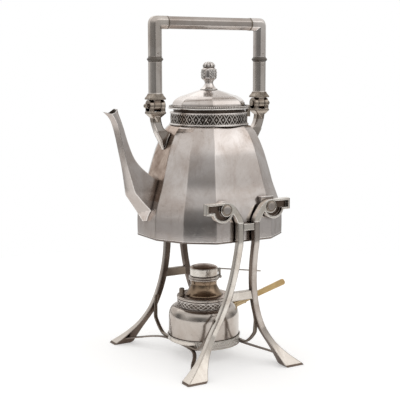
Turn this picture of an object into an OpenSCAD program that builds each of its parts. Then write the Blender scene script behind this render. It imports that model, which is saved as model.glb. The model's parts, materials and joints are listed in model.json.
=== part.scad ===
// Spirit kettle on stand: a faceted tilting kettle with a swinging bail and a hinged lid,
// carried between two H-shaped leg frames over a lift-out spirit lamp.
// Millimetres, +Z up, table at z = 0, spout towards -X, the two leg frames face +Y and -Y.

/* [Kettle body] */
// Height of the kettle's underside above the table
kettle_base_z = 141; // [139.5:0.5:143]
// Height of the kettle body from its underside to its flat top
body_height = 121; // [119:0.5:123]
// Corner radius of the body near its base
body_r = 82.2; // [81.4:0.2:82.4]
// Corner radius of the body at the shoulder
shoulder_r = 49; // [48:0.5:50]
// Sheet thickness of the kettle body
wall = 1.6; // [1.2:0.1:2]
// Angle of the wide side panels seen from above
wide_angle = 50; // [48:0.5:51]
// Angle of each narrow panel
narrow_angle = 25; // [24:0.5:25.5]

/* [Neck, gallery and lid] */
// Outer radius of the neck collar that carries the lid
neck_r = 39.5; // [38.8:0.1:39.9]
// Height of the neck collar above the body
neck_h = 18; // [17.5:0.5:19]
// Outer radius of the pierced gallery
gallery_r = 42.8; // [42.4:0.1:43]
// Height of the pierced gallery
gallery_h = 14; // [13:0.5:14.5]
// Number of pierced diamonds round the gallery
gallery_count = 36; // [30:2:38]
// Radius of the lid plate
lid_r = 45; // [44.6:0.2:45.6]
// Height of the faceted dome of the lid
dome_h = 19; // [17:0.5:21]
// Height of the finial above the dome
finial_h = 31.2; // [29:0.2:32]

/* [Bail] */
// How far the bail posts stand inside the widest corner of the body
bail_inset = 15; // [14.4:0.2:15.6]
// Distance across the flats of the eight-sided bail
bail_flat = 14; // [13.4:0.2:14.4]
// Height of the bail hinge above the body top
bail_hinge_h = 22.5; // [21.5:0.5:23.5]
// Height of the top of the bail above its hinge
bail_h = 95.5; // [92:0.5:98]
// Distance from the axis of each bail post to the joint ring of the grip
grip_end = 14.2; // [13:0.2:16]
// Radius of the knuckles of the bail hinge
knuckle_r = 6.3; // [5.8:0.1:6.6]

/* [Spout] */
// Reach of the spout tip from the kettle axis
spout_reach = 131; // [127:0.5:135]
// Sheet thickness of the spout
spout_wall = 1.2; // [1:0.1:1.4]

/* [Stand] */
// Gap between the widest side panel and the leg frames
frame_gap = 1.4; // [1.3:0.1:2]
// Thickness of the leg bars
leg_bar = 7; // [6.4:0.1:7.2]
// Half spacing of the four kettle pins
pin_x = 27.8; // [27:0.2:29]
// Height of the kettle pins above the kettle base
pin_h = 37.3; // [36.5:0.1:38.5]
// Radius of the kettle pins
pin_r = 5; // [4.6:0.1:5.2]
// Radial running clearance of the hinge pins
running_gap = 0.05; // [0.03:0.01:0.08]
// Half spread of the feet along the frame
foot_spread = 62.5; // [58:0.5:66]
// Sideways reach of the feet beyond the leg frames
foot_splay = 8; // [5:0.5:10]
// Distance that the feet and the lamp sit towards the spout
foot_lean = 8; // [6:0.5:9]

/* [Spirit lamp] */
// Outer radius of the spirit reservoir
lamp_r = 40; // [39:0.25:41]
// Height of the lamp reservoir
lamp_h = 36.6; // [35:0.2:38]
// Radius of the lattice band and the cover plate
band_r = 30.2; // [29:0.2:31]
// Outer radius of the snuffer cap
snuffer_r = 15.9; // [15.2:0.1:16.4]
// Length of the lamp handle, ferrule and grip together
handle_len = 78; // [72:0.5:84]
// Upward slope of the lamp handle in degrees
handle_slope = 15.5; // [12:0.5:17]

/* [Hidden] */
$fn = 72;
base_t = 1.8;
top_z = kettle_base_z + body_height;
pin_z = kettle_base_z + pin_h;
lean_top = kettle_base_z;
bail_x = body_r - bail_inset;
grip_half = bail_x - grip_end;
panel_y = (body_r + 0.2) * cos(wide_angle / 2);
bracket_t = leg_bar;
bracket_y = panel_y + frame_gap;
frame_y = bracket_y + bracket_t / 2;
lug_y = bracket_y - 0.3;
stub_r = 3;
spout_half = 90 - wide_angle / 2 - 2 * narrow_angle;
neck_top = top_z + neck_h;
plate_t = 1.6;
lid_z = neck_top + plate_t;
hinge_z = top_z + bail_hinge_h;
bail_top = hinge_z + bail_h;
lamp_x = -foot_lean * 0.85;
ring_z = 19;
lamp_z = ring_z + 1.8;
lid_hinge_x = lid_r + 2.5;
lid_hinge_z = neck_top + 1;
handle_root = lamp_r - 4;
handle_z = lamp_z + 29.3;
handle_r = 3.7;
handle_reach = lamp_x + handle_root + handle_len * cos(handle_slope) + handle_r * sin(handle_slope);
shift_x = (spout_reach - handle_reach) / 2;
strap_drop = ring_z;
foot_top = 30;

// Section: helpers

function rev(v) = [for (i = [len(v) - 1 : -1 : 0]) v[i]];
function arc(cx, cy, r, a0, a1, n) =
    [for (i = [0 : n]) [cx + r * cos(a0 + (a1 - a0) * i / n), cy + r * sin(a0 + (a1 - a0) * i / n)]];
function spline_at(a, b, c, d, t) =
    0.5 * ((2 * b) + (c - a) * t + (2 * a - 5 * b + 4 * c - d) * t * t + (3 * b - a - 3 * c + d) * t * t * t);
function smooth(p, n) = concat(
    [for (i = [0 : len(p) - 2]) for (k = [0 : n - 1])
        spline_at(p[max(i - 1, 0)], p[i], p[i + 1], p[min(i + 2, len(p) - 1)], k / n)],
    [p[len(p) - 1]]);

// A flat outline in the X-Z plane, t thick along Y, centred on y
module slab(t, y = 0) {
    translate([0, y + t / 2, 0])
        rotate([90, 0, 0])
            linear_extrude(height = t)
                children();
}

// A flat outline in the Y-Z plane, t thick along X, centred on x
module sheet(t, x = 0) {
    translate([x - t / 2, 0, 0])
        rotate([90, 0, 90])
            linear_extrude(height = t)
                children();
}

module ring_solid(r_out, r_in, z0, z1) {
    translate([0, 0, z0])
        difference() {
            cylinder(r = r_out, h = z1 - z0);
            translate([0, 0, -1])
                cylinder(r = r_in, h = z1 - z0 + 2);
        }
}

module rod_y(r, y0, y1) {
    translate([0, y1, 0])
        rotate([90, 0, 0])
            cylinder(r = r, h = y1 - y0);
}

module rod_x(r, x0, x1) {
    translate([x0, 0, 0])
        rotate([0, 90, 0])
            cylinder(r = r, h = x1 - x0);
}

// One pair of opposite panels: profile is [corner radius, height] from bottom to top
module panel_pair(profile, turn, half) {
    c = cos(half);
    rotate([0, 0, -90 - turn])
        rotate([90, 0, 0])
            linear_extrude(height = 260, center = true)
                polygon(concat(
                    [for (p = profile) [c * p[0], p[1]]],
                    [for (p = rev(profile)) [-c * p[0], p[1]]]));
}

// Twelve-sided form of the body: two wide panels, two end panels and eight narrow ones
module body_form(profile) {
    n = narrow_angle;
    first = wide_angle / 2;
    intersection() {
        panel_pair(profile, 0, first);
        panel_pair(profile, first + n / 2, n / 2);
        panel_pair(profile, first + 1.5 * n, n / 2);
        panel_pair(profile, 90, spout_half);
        panel_pair(profile, 180 - first - n / 2, n / 2);
        panel_pair(profile, 180 - first - 1.5 * n, n / 2);
    }
}

// Eight-sided form of the lid: the panels of the body with each narrow pair merged
module lid_form(profile) {
    n = narrow_angle;
    first = wide_angle / 2;
    intersection() {
        panel_pair(profile, 0, first);
        panel_pair(profile, first + n, n);
        panel_pair(profile, 90, spout_half);
        panel_pair(profile, 180 - first - n, n);
    }
}

// Corner profile of the body from the base plate to the flat top
bz = kettle_base_z + base_t;
bh = body_height - base_t;
bd = body_r - shoulder_r;
body_curve = smooth([
    [body_r, bz],
    [body_r + 0.2, bz + bh * 0.09],
    [body_r - bd * 0.005, bz + bh * 0.19],
    [body_r - bd * 0.07, bz + bh * 0.28],
    [body_r - bd * 0.18, bz + bh * 0.37],
    [body_r - bd * 0.31, bz + bh * 0.47],
    [body_r - bd * 0.41, bz + bh * 0.57],
    [body_r - bd * 0.515, bz + bh * 0.67],
    [body_r - bd * 0.63, bz + bh * 0.77],
    [body_r - bd * 0.77, bz + bh * 0.865],
    [body_r - bd * 0.91, bz + bh * 0.94],
    [shoulder_r, bz + bh * 0.97]
], 2);
body_outer = concat(body_curve, [
    [shoulder_r - 1.2, top_z - 2.2],
    [shoulder_r - 2.8, top_z - 0.8],
    [shoulder_r - 4.6, top_z]
]);
body_inner = concat(
    [[body_r - wall, kettle_base_z - 1]],
    [for (p = body_curve) [p[0] - wall * 1.1, p[1]]],
    [[shoulder_r - 1.2 - wall * 1.2, top_z - 2.6], [shoulder_r - 3.4 - wall, top_z - wall]]);

function body_corner(z) = lookup(z, [for (p = body_curve) [p[1], p[0]]]);

module body_solid() {
    body_form(body_outer);
}

// Section: kettle

module kettle_body() {
    color("silver")
        difference() {
            body_solid();
            body_form(body_inner);
            translate([0, 0, top_z - 10])
                cylinder(r = neck_r - 1.5, h = 20);
            for (k = [0 : 5])
                translate([-body_r * 1.2, 4.6 * sin(60 * k), kettle_base_z + 46 + 4.6 * cos(60 * k)])
                    rotate([0, 90, 0])
                        cylinder(r = 1.5, h = body_r * 0.5);
        }
}

module kettle_base() {
    color("silver")
        body_form([
            [body_r - 1, kettle_base_z],
            [body_r + 0.2, kettle_base_z + 0.9],
            [body_r, bz]
        ]);
}

module neck_collar() {
    color("dimgray")
        rotate_extrude()
            polygon([
                [neck_r - 1.5, top_z],
                [neck_r + 1.2, top_z],
                [neck_r + 1.2, top_z + 1.2],
                [neck_r, top_z + 1.2],
                [neck_r, neck_top],
                [neck_r - 1.5, neck_top]
            ]);
}

module gallery_band() {
    pitch = 2 * PI * gallery_r / gallery_count;
    side = pitch * 0.52;
    color("silver")
        difference() {
            ring_solid(gallery_r, gallery_r - 1.3, top_z, top_z + gallery_h - 0.6);
            for (k = [0 : gallery_count / 2 - 1])
                rotate([0, 0, 360 * k / gallery_count])
                    translate([0, 0, top_z + gallery_h / 2])
                        rotate([45, 0, 0])
                            cube([gallery_r * 2.2, side, side], center = true);
        }
}

module gallery_rims() {
    color("silver") {
        rotate_extrude()
            polygon(concat([[gallery_r, top_z], [gallery_r, top_z + 2.4]],
                arc(gallery_r + 0.2, top_z + 1.2, 1.2, 90, -90, 6)));
        rotate_extrude()
            polygon(concat([[gallery_r - 2.6, top_z + gallery_h - 0.6],
                [gallery_r - 2.6, top_z + gallery_h]],
                arc(gallery_r - 0.2, top_z + gallery_h - 0.3, 1.1, 74, -74, 6),
                [[gallery_r, top_z + gallery_h - 1], [gallery_r, top_z + gallery_h - 0.6]]));
    }
}

sx = spout_reach - 131;
st = kettle_base_z;
sh = body_height / 121;
spout_front = [
    [-spout_reach, st + 138.8 * sh],
    [-124.6 - sx, st + 136.3 * sh],
    [-119 - sx, st + 131 * sh],
    [-115.2 - sx, st + 123 * sh],
    [-111.8 - sx * 0.8, st + 111 * sh],
    [-108.7 - sx * 0.6, st + 97 * sh],
    [-103.8 - sx * 0.4, st + 76 * sh],
    [-98.6 - sx * 0.2, st + 50 * sh],
    [-94, st + 39 * sh],
    [-86, st + 29 * sh],
    [-70, st + 14 * sh]
];
spout_back = [
    [-113.4 - sx, st + 139.5 * sh],
    [-111.8 - sx, st + 134 * sh],
    [-107.6 - sx, st + 119 * sh],
    [-103.2 - sx * 0.8, st + 105 * sh],
    [-97.6 - sx * 0.6, st + 91 * sh],
    [-91.6 - sx * 0.4, st + 82 * sh],
    [-82.2 - sx * 0.2, st + 73 * sh],
    [-70, st + 65 * sh],
    [-46, st + 55 * sh]
];

// Scooped edge of the mouth, from the raised back wall down and forward to the lip
spout_lip = [
    [-113.9 - sx, st + 141.2 * sh],
    [-115.4 - sx, st + 141.6 * sh],
    [-116.4 - sx, st + 140 * sh],
    [-117.7 - sx, st + 137.4 * sh],
    [-119.6 - sx, st + 136.3 * sh],
    [-122.4 - sx, st + 136.6 * sh],
    [-126.6 - sx, st + 137.9 * sh]
];

module spout_form(t, up) {
    half = concat(
        up > 0 ? [[6.4, 150]] : [[2.4, 141.8], [4.6, 141.2], [6, 139.9], [6.3, 138.4]],
        [[6.2, 124], [6.4, 98], [7.3, 74], [8.3, 50], [9.8, 14]]);
    lip = up > 0
        ? [[spout_back[0][0] - t, spout_back[0][1] + up], [spout_front[0][0] + t * 2.4, spout_front[0][1] + up]]
        : spout_lip;
    intersection() {
        slab(60)
            polygon(concat(
                [for (p = smooth(spout_front, 3)) [p[0] + t, p[1]]],
                rev([for (p = smooth(spout_back, 3)) [p[0] - t, p[1] + t * 0.4]]),
                lip));
        sheet(spout_reach * 2 + 20)
            polygon(concat(
                [for (p = half) [p[0] - t, st + p[1] * sh]],
                rev([for (p = half) [-p[0] + t, st + p[1] * sh]])));
    }
}

module spout() {
    color("silver")
        difference() {
            spout_form(0, 0);
            spout_form(spout_wall, 4);
            body_solid();
        }
}

// Studs of the spout side turn in the leg frames; their bosses end just short of the frames
module pivot_studs() {
    color("silver")
        for (s = [0, 180])
            rotate([0, 0, s])
                difference() {
                    translate([s > 0 ? pin_x : -pin_x, 0, pin_z])
                        union() {
                            rod_y(8.4, -lug_y, -lug_y + 10);
                            rod_y(pin_r, -bracket_y - bracket_t - 0.1, -lug_y + 5);
                        }
                    body_solid();
                }
}

module stud_caps() {
    color("silver")
        for (s = [0, 180])
            rotate([0, 0, s])
                translate([s > 0 ? pin_x : -pin_x, 0, pin_z])
                    rod_y(pin_r + 0.9, -bracket_y - bracket_t - 1.1, -bracket_y - bracket_t - 0.1);
}

// Notched lugs of the rear side only sit on the rest pins, so that the kettle can tip forward
module rest_lugs() {
    color("silver")
        for (s = [0, 180])
            rotate([0, 0, s])
                difference() {
                    translate([(s > 0 ? -pin_x : pin_x) - 8, -lug_y, pin_z])
                        cube([16, 10, 10]);
                    body_solid();
                    translate([s > 0 ? -pin_x : pin_x, 0, pin_z])
                        rod_y(stub_r + 0.05, -lug_y - 1, -lug_y + 12);
                }
}

// Swan-neck bracket of the rear side; the spout side is its mirror image
module bail_bracket() {
    bx = bail_x;
    flange_z = hinge_z - knuckle_r - 2.2;
    difference() {
        union() {
            slab(10)
                polygon(concat(
                    smooth([
                        [bx + 5.6, flange_z],
                        [bx + 4.6, hinge_z - 17],
                        [bx + 1.4, hinge_z - 27],
                        [bx - 3.6, hinge_z - 37],
                        [bx - 7.4, hinge_z - 46],
                        [bx - 13, hinge_z - 57]
                    ], 4),
                    smooth([
                        [bx - 34, hinge_z - 36],
                        [bx - 17, hinge_z - 29.5],
                        [bx - 8.8, hinge_z - 25],
                        [bx - 5.4, hinge_z - 17],
                        [bx - 4.6, flange_z]
                    ], 4)));
            intersection() {
                slab(40)
                    polygon([
                        [bx - 5, flange_z - 4.2],
                        [bx + 5.6, flange_z - 4.2],
                        [bx + 9.5, flange_z],
                        [bx + 9.5, flange_z + 2],
                        [bx - 9.5, flange_z + 2],
                        [bx - 9.5, flange_z]
                    ]);
                sheet(300)
                    polygon([
                        [-5, flange_z - 4.2],
                        [5, flange_z - 4.2],
                        [7.5, flange_z],
                        [7.5, flange_z + 2],
                        [-7.5, flange_z + 2],
                        [-7.5, flange_z]
                    ]);
            }
            slab(12)
                polygon([[bx - 3.4, flange_z - 3], [bx + 3.6, flange_z - 3], [bx + 0.2, flange_z - 8.4]]);
            for (s = [-1, 1])
                bracket_ear(bx, s);
        }
        body_solid();
        translate([0, 0, hinge_z])
            rod_x(2.2 + 0.02, bx - 12, bx + 12);
    }
}

module bracket_ear(bx, s) {
    x0 = s > 0 ? bx + 4.1 : bx - 9.3;
    translate([0, 0, hinge_z])
        rod_x(knuckle_r, x0, x0 + 5.2);
    translate([x0, -knuckle_r + 0.6, hinge_z - knuckle_r - 0.4])
        cube([5.2, 2 * knuckle_r - 1.2, knuckle_r]);
}

module bail_bracket_rear() {
    color("silver")
        bail_bracket();
}

module bail_bracket_spout() {
    color("silver")
        mirror([1, 0, 0])
            bail_bracket();
}

module bail_hinge_pins() {
    color("silver")
        for (s = [-1, 1])
            translate([s * bail_x, 0, hinge_z]) {
                rod_x(2.2, -9.9, 9.9);
                translate([s * 11.6, 0, 0])
                    sphere(r = 2.6);
                rod_x(2.9, s > 0 ? -10.6 : 9.4, s > 0 ? -9.4 : 10.6);
            }
}

// Section: lid

lid_base_r = lid_r - 2.8;
module lid_dome() {
    z0 = lid_z;
    outer = [
        [lid_base_r, z0],
        [lid_base_r, z0 + dome_h * 0.12],
        [lid_base_r * 0.975, z0 + dome_h * 0.19],
        [lid_base_r * 0.865, z0 + dome_h * 0.365],
        [lid_base_r * 0.66, z0 + dome_h * 0.56],
        [lid_base_r * 0.43, z0 + dome_h * 0.79],
        [lid_base_r * 0.33, z0 + dome_h * 0.895],
        [10, z0 + dome_h]
    ];
    color("silver")
        difference() {
            lid_form(outer);
            lid_form(concat([[lid_base_r - 1.5, z0 - 3]],
                [for (p = outer) [p[0] - 1.5, p[1] - 1.4]]));
            translate([0, 0, z0])
                cylinder(r = 2.05, h = 40);
        }
}

module lid_rim() {
    color("silver")
        rotate_extrude()
            polygon([
                [neck_r - 2.9, neck_top - 5],
                [neck_r - 1.9, neck_top - 5],
                [neck_r - 1.9, neck_top],
                [lid_r - 0.5, neck_top],
                [lid_r, neck_top + 0.5],
                [lid_r, neck_top + plate_t],
                [neck_r - 2.9, neck_top + plate_t]
            ]);
}

module lid_milled_band() {
    color("silver")
        difference() {
            rotate_extrude()
                polygon([
                    [lid_r - 2.2, lid_z],
                    [lid_r - 0.6, lid_z],
                    [lid_r - 0.4, lid_z + 1.2],
                    [lid_r - 1, lid_z + 2],
                    [lid_r - 2.2, lid_z + 2]
                ]);
            lid_form([[lid_base_r + 0.02, lid_z - 1], [lid_base_r + 0.02, lid_z + 4]]);
        }
}

// Hinge at the rear, behind the bail bracket line
module lid_knuckle() {
    color("silver")
        difference() {
            union() {
                translate([lid_hinge_x, 0, lid_hinge_z])
                    rod_y(2.3, -3, 3);
                translate([lid_r - 3, -3, neck_top])
                    cube([5, 6, plate_t]);
            }
            translate([0, 0, neck_top - 5])
                cylinder(r = lid_r, h = 12);
            translate([lid_hinge_x, 0, lid_hinge_z])
                rod_y(1 + running_gap, -10, 10);
        }
}

module gallery_knuckles() {
    color("silver")
        for (s = [-1, 1])
            difference() {
                union() {
                    translate([lid_hinge_x, 0, lid_hinge_z])
                        rod_y(2.3, s > 0 ? 3.2 : -8.2, s > 0 ? 8.2 : -3.2);
                    translate([lid_hinge_x - 1.2, s > 0 ? 3.2 : -8.2, top_z + gallery_h - 6])
                        cube([3.4, 5, lid_hinge_z - top_z - gallery_h + 6]);
                    translate([gallery_r - 3, s > 0 ? 3.2 : -8.2, top_z + gallery_h - 6])
                        cube([lid_hinge_x - gallery_r + 2, 5, 4]);
                }
                cylinder(r = gallery_r + 0.02, h = top_z + 40);
                translate([lid_hinge_x, 0, lid_hinge_z])
                    rod_y(1.01, -10, 10);
            }
}

module lid_hinge_pin() {
    color("gray")
        translate([lid_hinge_x, 0, lid_hinge_z])
            rod_y(1, -8.6, 8.6);
}

fin_z = lid_z + dome_h;
fs = finial_h / 31.2;
module finial_base() {
    color("silver")
        rotate_extrude()
            polygon(concat(
                [[0, fin_z - 3.6], [1.95, fin_z - 3.6], [1.95, fin_z], [9.6, fin_z], [9.8, fin_z + 0.8]],
                smooth([
                    [8.6, fin_z + 1.6 * fs],
                    [6, fin_z + 3.4 * fs],
                    [4.5, fin_z + 6.6 * fs],
                    [4.6, fin_z + 8.8 * fs],
                    [6, fin_z + 10.4 * fs]
                ], 4),
                [[0, fin_z + 10.4 * fs]]));
}

module finial_acorn() {
    color("silver")
        rotate_extrude()
            polygon(concat(
                [[0, fin_z + 10.4 * fs], [6, fin_z + 10.4 * fs]],
                smooth([
                    [6.6, fin_z + 10.8 * fs],
                    [8.7, fin_z + 12.8 * fs],
                    [9.1, fin_z + 16 * fs],
                    [9, fin_z + 19.6 * fs],
                    [8, fin_z + 22.6 * fs],
                    [5.8, fin_z + 24 * fs]
                ], 4),
                [[6, fin_z + 24.4 * fs], [5.4, fin_z + 25.4 * fs]],
                smooth([
                    [6.2, fin_z + 26.4 * fs],
                    [6, fin_z + 28.4 * fs],
                    [3.8, fin_z + 30.6 * fs],
                    [0, fin_z + finial_h]
                ], 4)));
}

module finial_nut() {
    color("gray")
        translate([0, 0, fin_z - 3.5])
            difference() {
                cylinder(r = 5, h = 2, $fn = 6);
                translate([0, 0, -1])
                    cylinder(r = 1.97, h = 5);
            }
}

// Section: bail

rivet_r = 1;
ins_z = hinge_z + bail_h * 0.518;
ins_h = 5;
module octagon(f) {
    rotate([0, 0, 22.5])
        circle(r = f / 2 / cos(22.5), $fn = 8);
}

// Flared collar at the foot of a bail post
module foot_flange(z) {
    intersection() {
        slab(40)
            polygon([
                [bail_x - 9.5, z],
                [bail_x + 9.5, z],
                [bail_x + 9.5, z + 2],
                [bail_x + 6.9, z + 6.6],
                [bail_x - 6.9, z + 6.6],
                [bail_x - 9.5, z + 2]
            ]);
        sheet(300)
            polygon([[-7.5, z], [7.5, z], [7.5, z + 2], [6.9, z + 6.6], [-6.9, z + 6.6], [-7.5, z + 2]]);
    }
}

module bail_foot() {
    difference() {
        union() {
            translate([bail_x, 0, hinge_z + knuckle_r + 3])
                linear_extrude(height = ins_z - ins_h / 2 - hinge_z - knuckle_r - 3)
                    octagon(bail_flat);
            foot_flange(hinge_z + knuckle_r + 0.2);
            translate([0, 0, hinge_z])
                rod_x(knuckle_r - 0.1, bail_x - 3.8, bail_x + 3.8);
            translate([bail_x - 3.8, -5, hinge_z])
                cube([7.6, 10, knuckle_r + 1]);
        }
        translate([0, 0, hinge_z])
            rod_x(2.2 + running_gap, bail_x - 12, bail_x + 12);
        translate([bail_x, 0, ins_z - 6.5])
            rod_y(rivet_r + 0.02, -12, 12);
    }
}

module bail_foot_rear() {
    color("silver")
        bail_foot();
}

module bail_foot_spout() {
    color("silver")
        mirror([1, 0, 0])
            bail_foot();
}

module bail_insulators() {
    color("ivory")
        for (s = [-1, 1])
            translate([s * bail_x, 0, ins_z])
                rotate_extrude()
                    polygon([
                        [0, -ins_h / 2],
                        [bail_flat / 2 + 0.2, -ins_h / 2],
                        [bail_flat / 2 + 1.9, -0.4],
                        [bail_flat / 2 + 1.9, 0.4],
                        [bail_flat / 2 + 0.2, ins_h / 2],
                        [0, ins_h / 2]
                    ]);
}

module bail_rivets() {
    color("gray")
        for (s = [-1, 1])
            for (dz = [-6.5, 6.5])
                translate([s * bail_x, 0, ins_z + dz]) {
                    rod_y(rivet_r, -bail_flat / 2 - 0.5, bail_flat / 2 + 0.5);
                }
}

// Mitred corner of two eight-sided bars with its outer corner rounded
module bail_elbow() {
    f = bail_flat;
    x_out = bail_x + f / 2;
    z_mid = bail_top - f / 2;
    z_low = ins_z + ins_h / 2;
    r = 8.6;
    difference() {
        intersection() {
            union() {
                intersection() {
                    translate([bail_x, 0, z_low])
                        linear_extrude(height = bail_top - z_low)
                            octagon(f);
                    slab(40)
                        polygon([
                            [x_out + 5, z_low - 1],
                            [x_out + 5, bail_top + 5],
                            [bail_x - 20, z_mid - 20],
                            [bail_x - 20, z_low - 1]
                        ]);
                }
                intersection() {
                    translate([grip_half + 0.8, 0, z_mid])
                        rotate([90, 0, 90])
                            linear_extrude(height = x_out - grip_half - 0.8)
                                octagon(f);
                    slab(40)
                        polygon([
                            [x_out + 5, bail_top + 5],
                            [grip_half - 5, bail_top + 5],
                            [grip_half - 5, z_mid - 12],
                            [bail_x - 12, z_mid - 12]
                        ]);
                }
            }
            slab(40)
                polygon(concat(
                    [[x_out, z_low - 1]],
                    arc(x_out - r, bail_top - r, r, 0, 90, 9),
                    [[grip_half - 5, bail_top], [grip_half - 5, z_low - 1]]));
        }
        translate([bail_x, 0, ins_z + 6.5])
            rod_y(rivet_r + 0.02, -12, 12);
    }
}

module bail_elbow_rear() {
    color("silver")
        bail_elbow();
}

module bail_elbow_spout() {
    color("silver")
        mirror([1, 0, 0])
            bail_elbow();
}

module bail_joint_rings() {
    color("silver")
        for (s = [-1, 1])
            translate([s * grip_half, 0, bail_top - bail_flat / 2])
                rotate([90, 0, 90])
                    translate([0, 0, -0.8])
                        linear_extrude(height = 1.6)
                            octagon(bail_flat - 0.01);
}

module bail_grip() {
    color("silver")
        translate([-grip_half + 0.8, 0, bail_top - bail_flat / 2])
            rotate([90, 0, 90])
                linear_extrude(height = 2 * grip_half - 1.6)
                    octagon(bail_flat - 1);
}

// Section: stand

leg_top = pin_z - 15.3;
function mid_x(z) = -foot_lean * max(0, 1 - z / lean_top);
function spread(z) = 10.2 + (foot_spread - 10.2) * pow(max(0, 1 - z / 150), 2.7);
waist_z = 45;
waist_y = frame_y - 10.5;
function leg_y(z) = z > waist_z
    ? waist_y + (frame_y - waist_y) * pow(min(1, (z - waist_z) / 95), 1.3)
    : waist_y + (frame_y - waist_y + foot_splay) * pow((waist_z - z) / waist_z, 1.6);
function slope_x(z) = (spread(z + 1) - spread(z)) + 0 * z;
function slope_y(z) = leg_y(z + 1) - leg_y(z);
function flare(z) = pow(max(0, (foot_top - z) / foot_top), 2);
function leg_wx(z) = leg_bar * sqrt(1 + slope_x(z) * slope_x(z)) + 16 * flare(z);
function leg_wy(z) = leg_bar * sqrt(1 + slope_y(z) * slope_y(z)) + 8 * flare(z);
leg_zs = concat([0, 2.2], [for (z = [6 : 6 : 60]) z], [for (z = [68 : 9 : 149]) z], [leg_top]);

// side is -1 at the spout and 1 at the rear; face is -1 for the near frame and 1 for the far one
module leg(side, face) {
    intersection() {
        slab(60, face * (frame_y - 1))
            polygon(concat(
                [for (z = leg_zs) [mid_x(z) + side * spread(z) + leg_wx(max(z, 2.2)) / 2, z]],
                rev([for (z = leg_zs) [mid_x(z) + side * spread(z) - leg_wx(max(z, 2.2)) / 2, z]])));
        sheet(200, side * 60)
            polygon(concat(
                [for (z = leg_zs) [face * leg_y(z) + leg_wy(max(z, 2.2)) / 2, z]],
                rev([for (z = leg_zs) [face * leg_y(z) - leg_wy(max(z, 2.2)) / 2, z]])));
    }
}

module leg_spout_near() {
    color("silver")
        leg(-1, -1);
}

module leg_spout_far() {
    color("silver")
        leg(-1, 1);
}

module leg_rear_near() {
    color("silver")
        leg(1, -1);
}

module leg_rear_far() {
    color("silver")
        leg(1, 1);
}

// Scroll that holds a pin: u runs from the pin towards the middle of the stand
stem_u = pin_x - 10.2;
module scroll_outline() {
    h = leg_bar / 2;
    r = pin_r + 2;
    circle(r = r);
    polygon(concat(
        smooth([
            [-8, r + 0.5],
            [0, r + 0.5],
            [5.6, r - 1],
            [10.6, 2.4],
            [stem_u - 2.4, -3.6],
            [stem_u + 1.6, -9.6],
            [stem_u + h, -15.3]
        ], 3),
        smooth([
            [stem_u - h, -15.3],
            [11.6, -9.6],
            [8.6, -5.6],
            [4, -3]
        ], 3),
        [[0, 0], [-3, r - 1.6], [-8, r - 1.6]]));
    translate([-24.5, r - 1.6])
        square([20, 2.1]);
    translate([-24.5, -4.4])
        square([2.3, r + 4.9]);
    translate([-24.5, -4.4])
        square([10.5, 2.1]);
    polygon(concat(arc(-4.3, -1.2, 12.2, 188, 355, 20), arc(-4.3, -1.2, 10, 355, 188, 20)));
}

// The recess of the hook and of the cradle is closed by a thin web on the kettle's side
module scroll_web() {
    translate([-23.6, -3.4])
        square([18, pin_r + 4.9]);
    polygon(arc(-4.3, -1.2, 11, 190, 352, 18));
    circle(r = pin_r + 1.2);
}

web_t = 3;
module pin_bracket(side, face) {
    hole = side > 0 ? pin_r + 0.02 : pin_r + running_gap;
    translate([side * pin_x, 0, pin_z])
        mirror([side > 0 ? 1 : 0, 0, 0])
            difference() {
                union() {
                    slab(bracket_t, face * (bracket_y + bracket_t / 2))
                        scroll_outline();
                    slab(web_t, face * (bracket_y + web_t / 2))
                        scroll_web();
                }
                rod_y(hole, -frame_y * 2, frame_y * 2);
            }
}

module pin_bracket_spout_near() {
    color("silver")
        pin_bracket(-1, -1);
}

module pin_bracket_spout_far() {
    color("silver")
        pin_bracket(-1, 1);
}

module pin_bracket_rear_near() {
    color("silver")
        pin_bracket(1, -1);
}

module pin_bracket_rear_far() {
    color("silver")
        pin_bracket(1, 1);
}

rest_in = panel_y + 0.3;
module rest_pins() {
    color("silver")
        for (s = [0, 180])
            rotate([0, 0, s])
                translate([s > 0 ? -pin_x : pin_x, 0, pin_z])
                    rotate([90, 0, 0])
                        rotate_extrude()
                            polygon([
                                [0, rest_in],
                                [stub_r, rest_in],
                                [stub_r, bracket_y],
                                [pin_r, bracket_y],
                                [pin_r, bracket_y + bracket_t],
                                [pin_r + 0.9, bracket_y + bracket_t],
                                [pin_r + 0.9, bracket_y + bracket_t + 1.1],
                                [0, bracket_y + bracket_t + 1.1]
                            ]);
}

module frame_bar(z0, h, t, face) {
    difference() {
        translate([mid_x(z0) - 20, face * leg_y(z0 + h / 2) - t / 2, z0])
            cube([40, t, h]);
        leg(-1, face);
        leg(1, face);
        translate([mid_x(z0 + h) - 40 - spread(z0 + h), -200, z0 - 1])
            cube([40, 400, h + 2]);
        translate([mid_x(z0 + h) + spread(z0 + h), -200, z0 - 1])
            cube([40, 400, h + 2]);
    }
}

module upper_crossbars() {
    color("silver")
        for (s = [-1, 1])
            frame_bar(leg_top - 8.2, 7, leg_bar - 0.3, s);
}

module lower_crossbars() {
    color("silver")
        for (s = [-1, 1])
            frame_bar(77.5, 9.5, leg_bar - 1.6, s);
}

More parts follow.
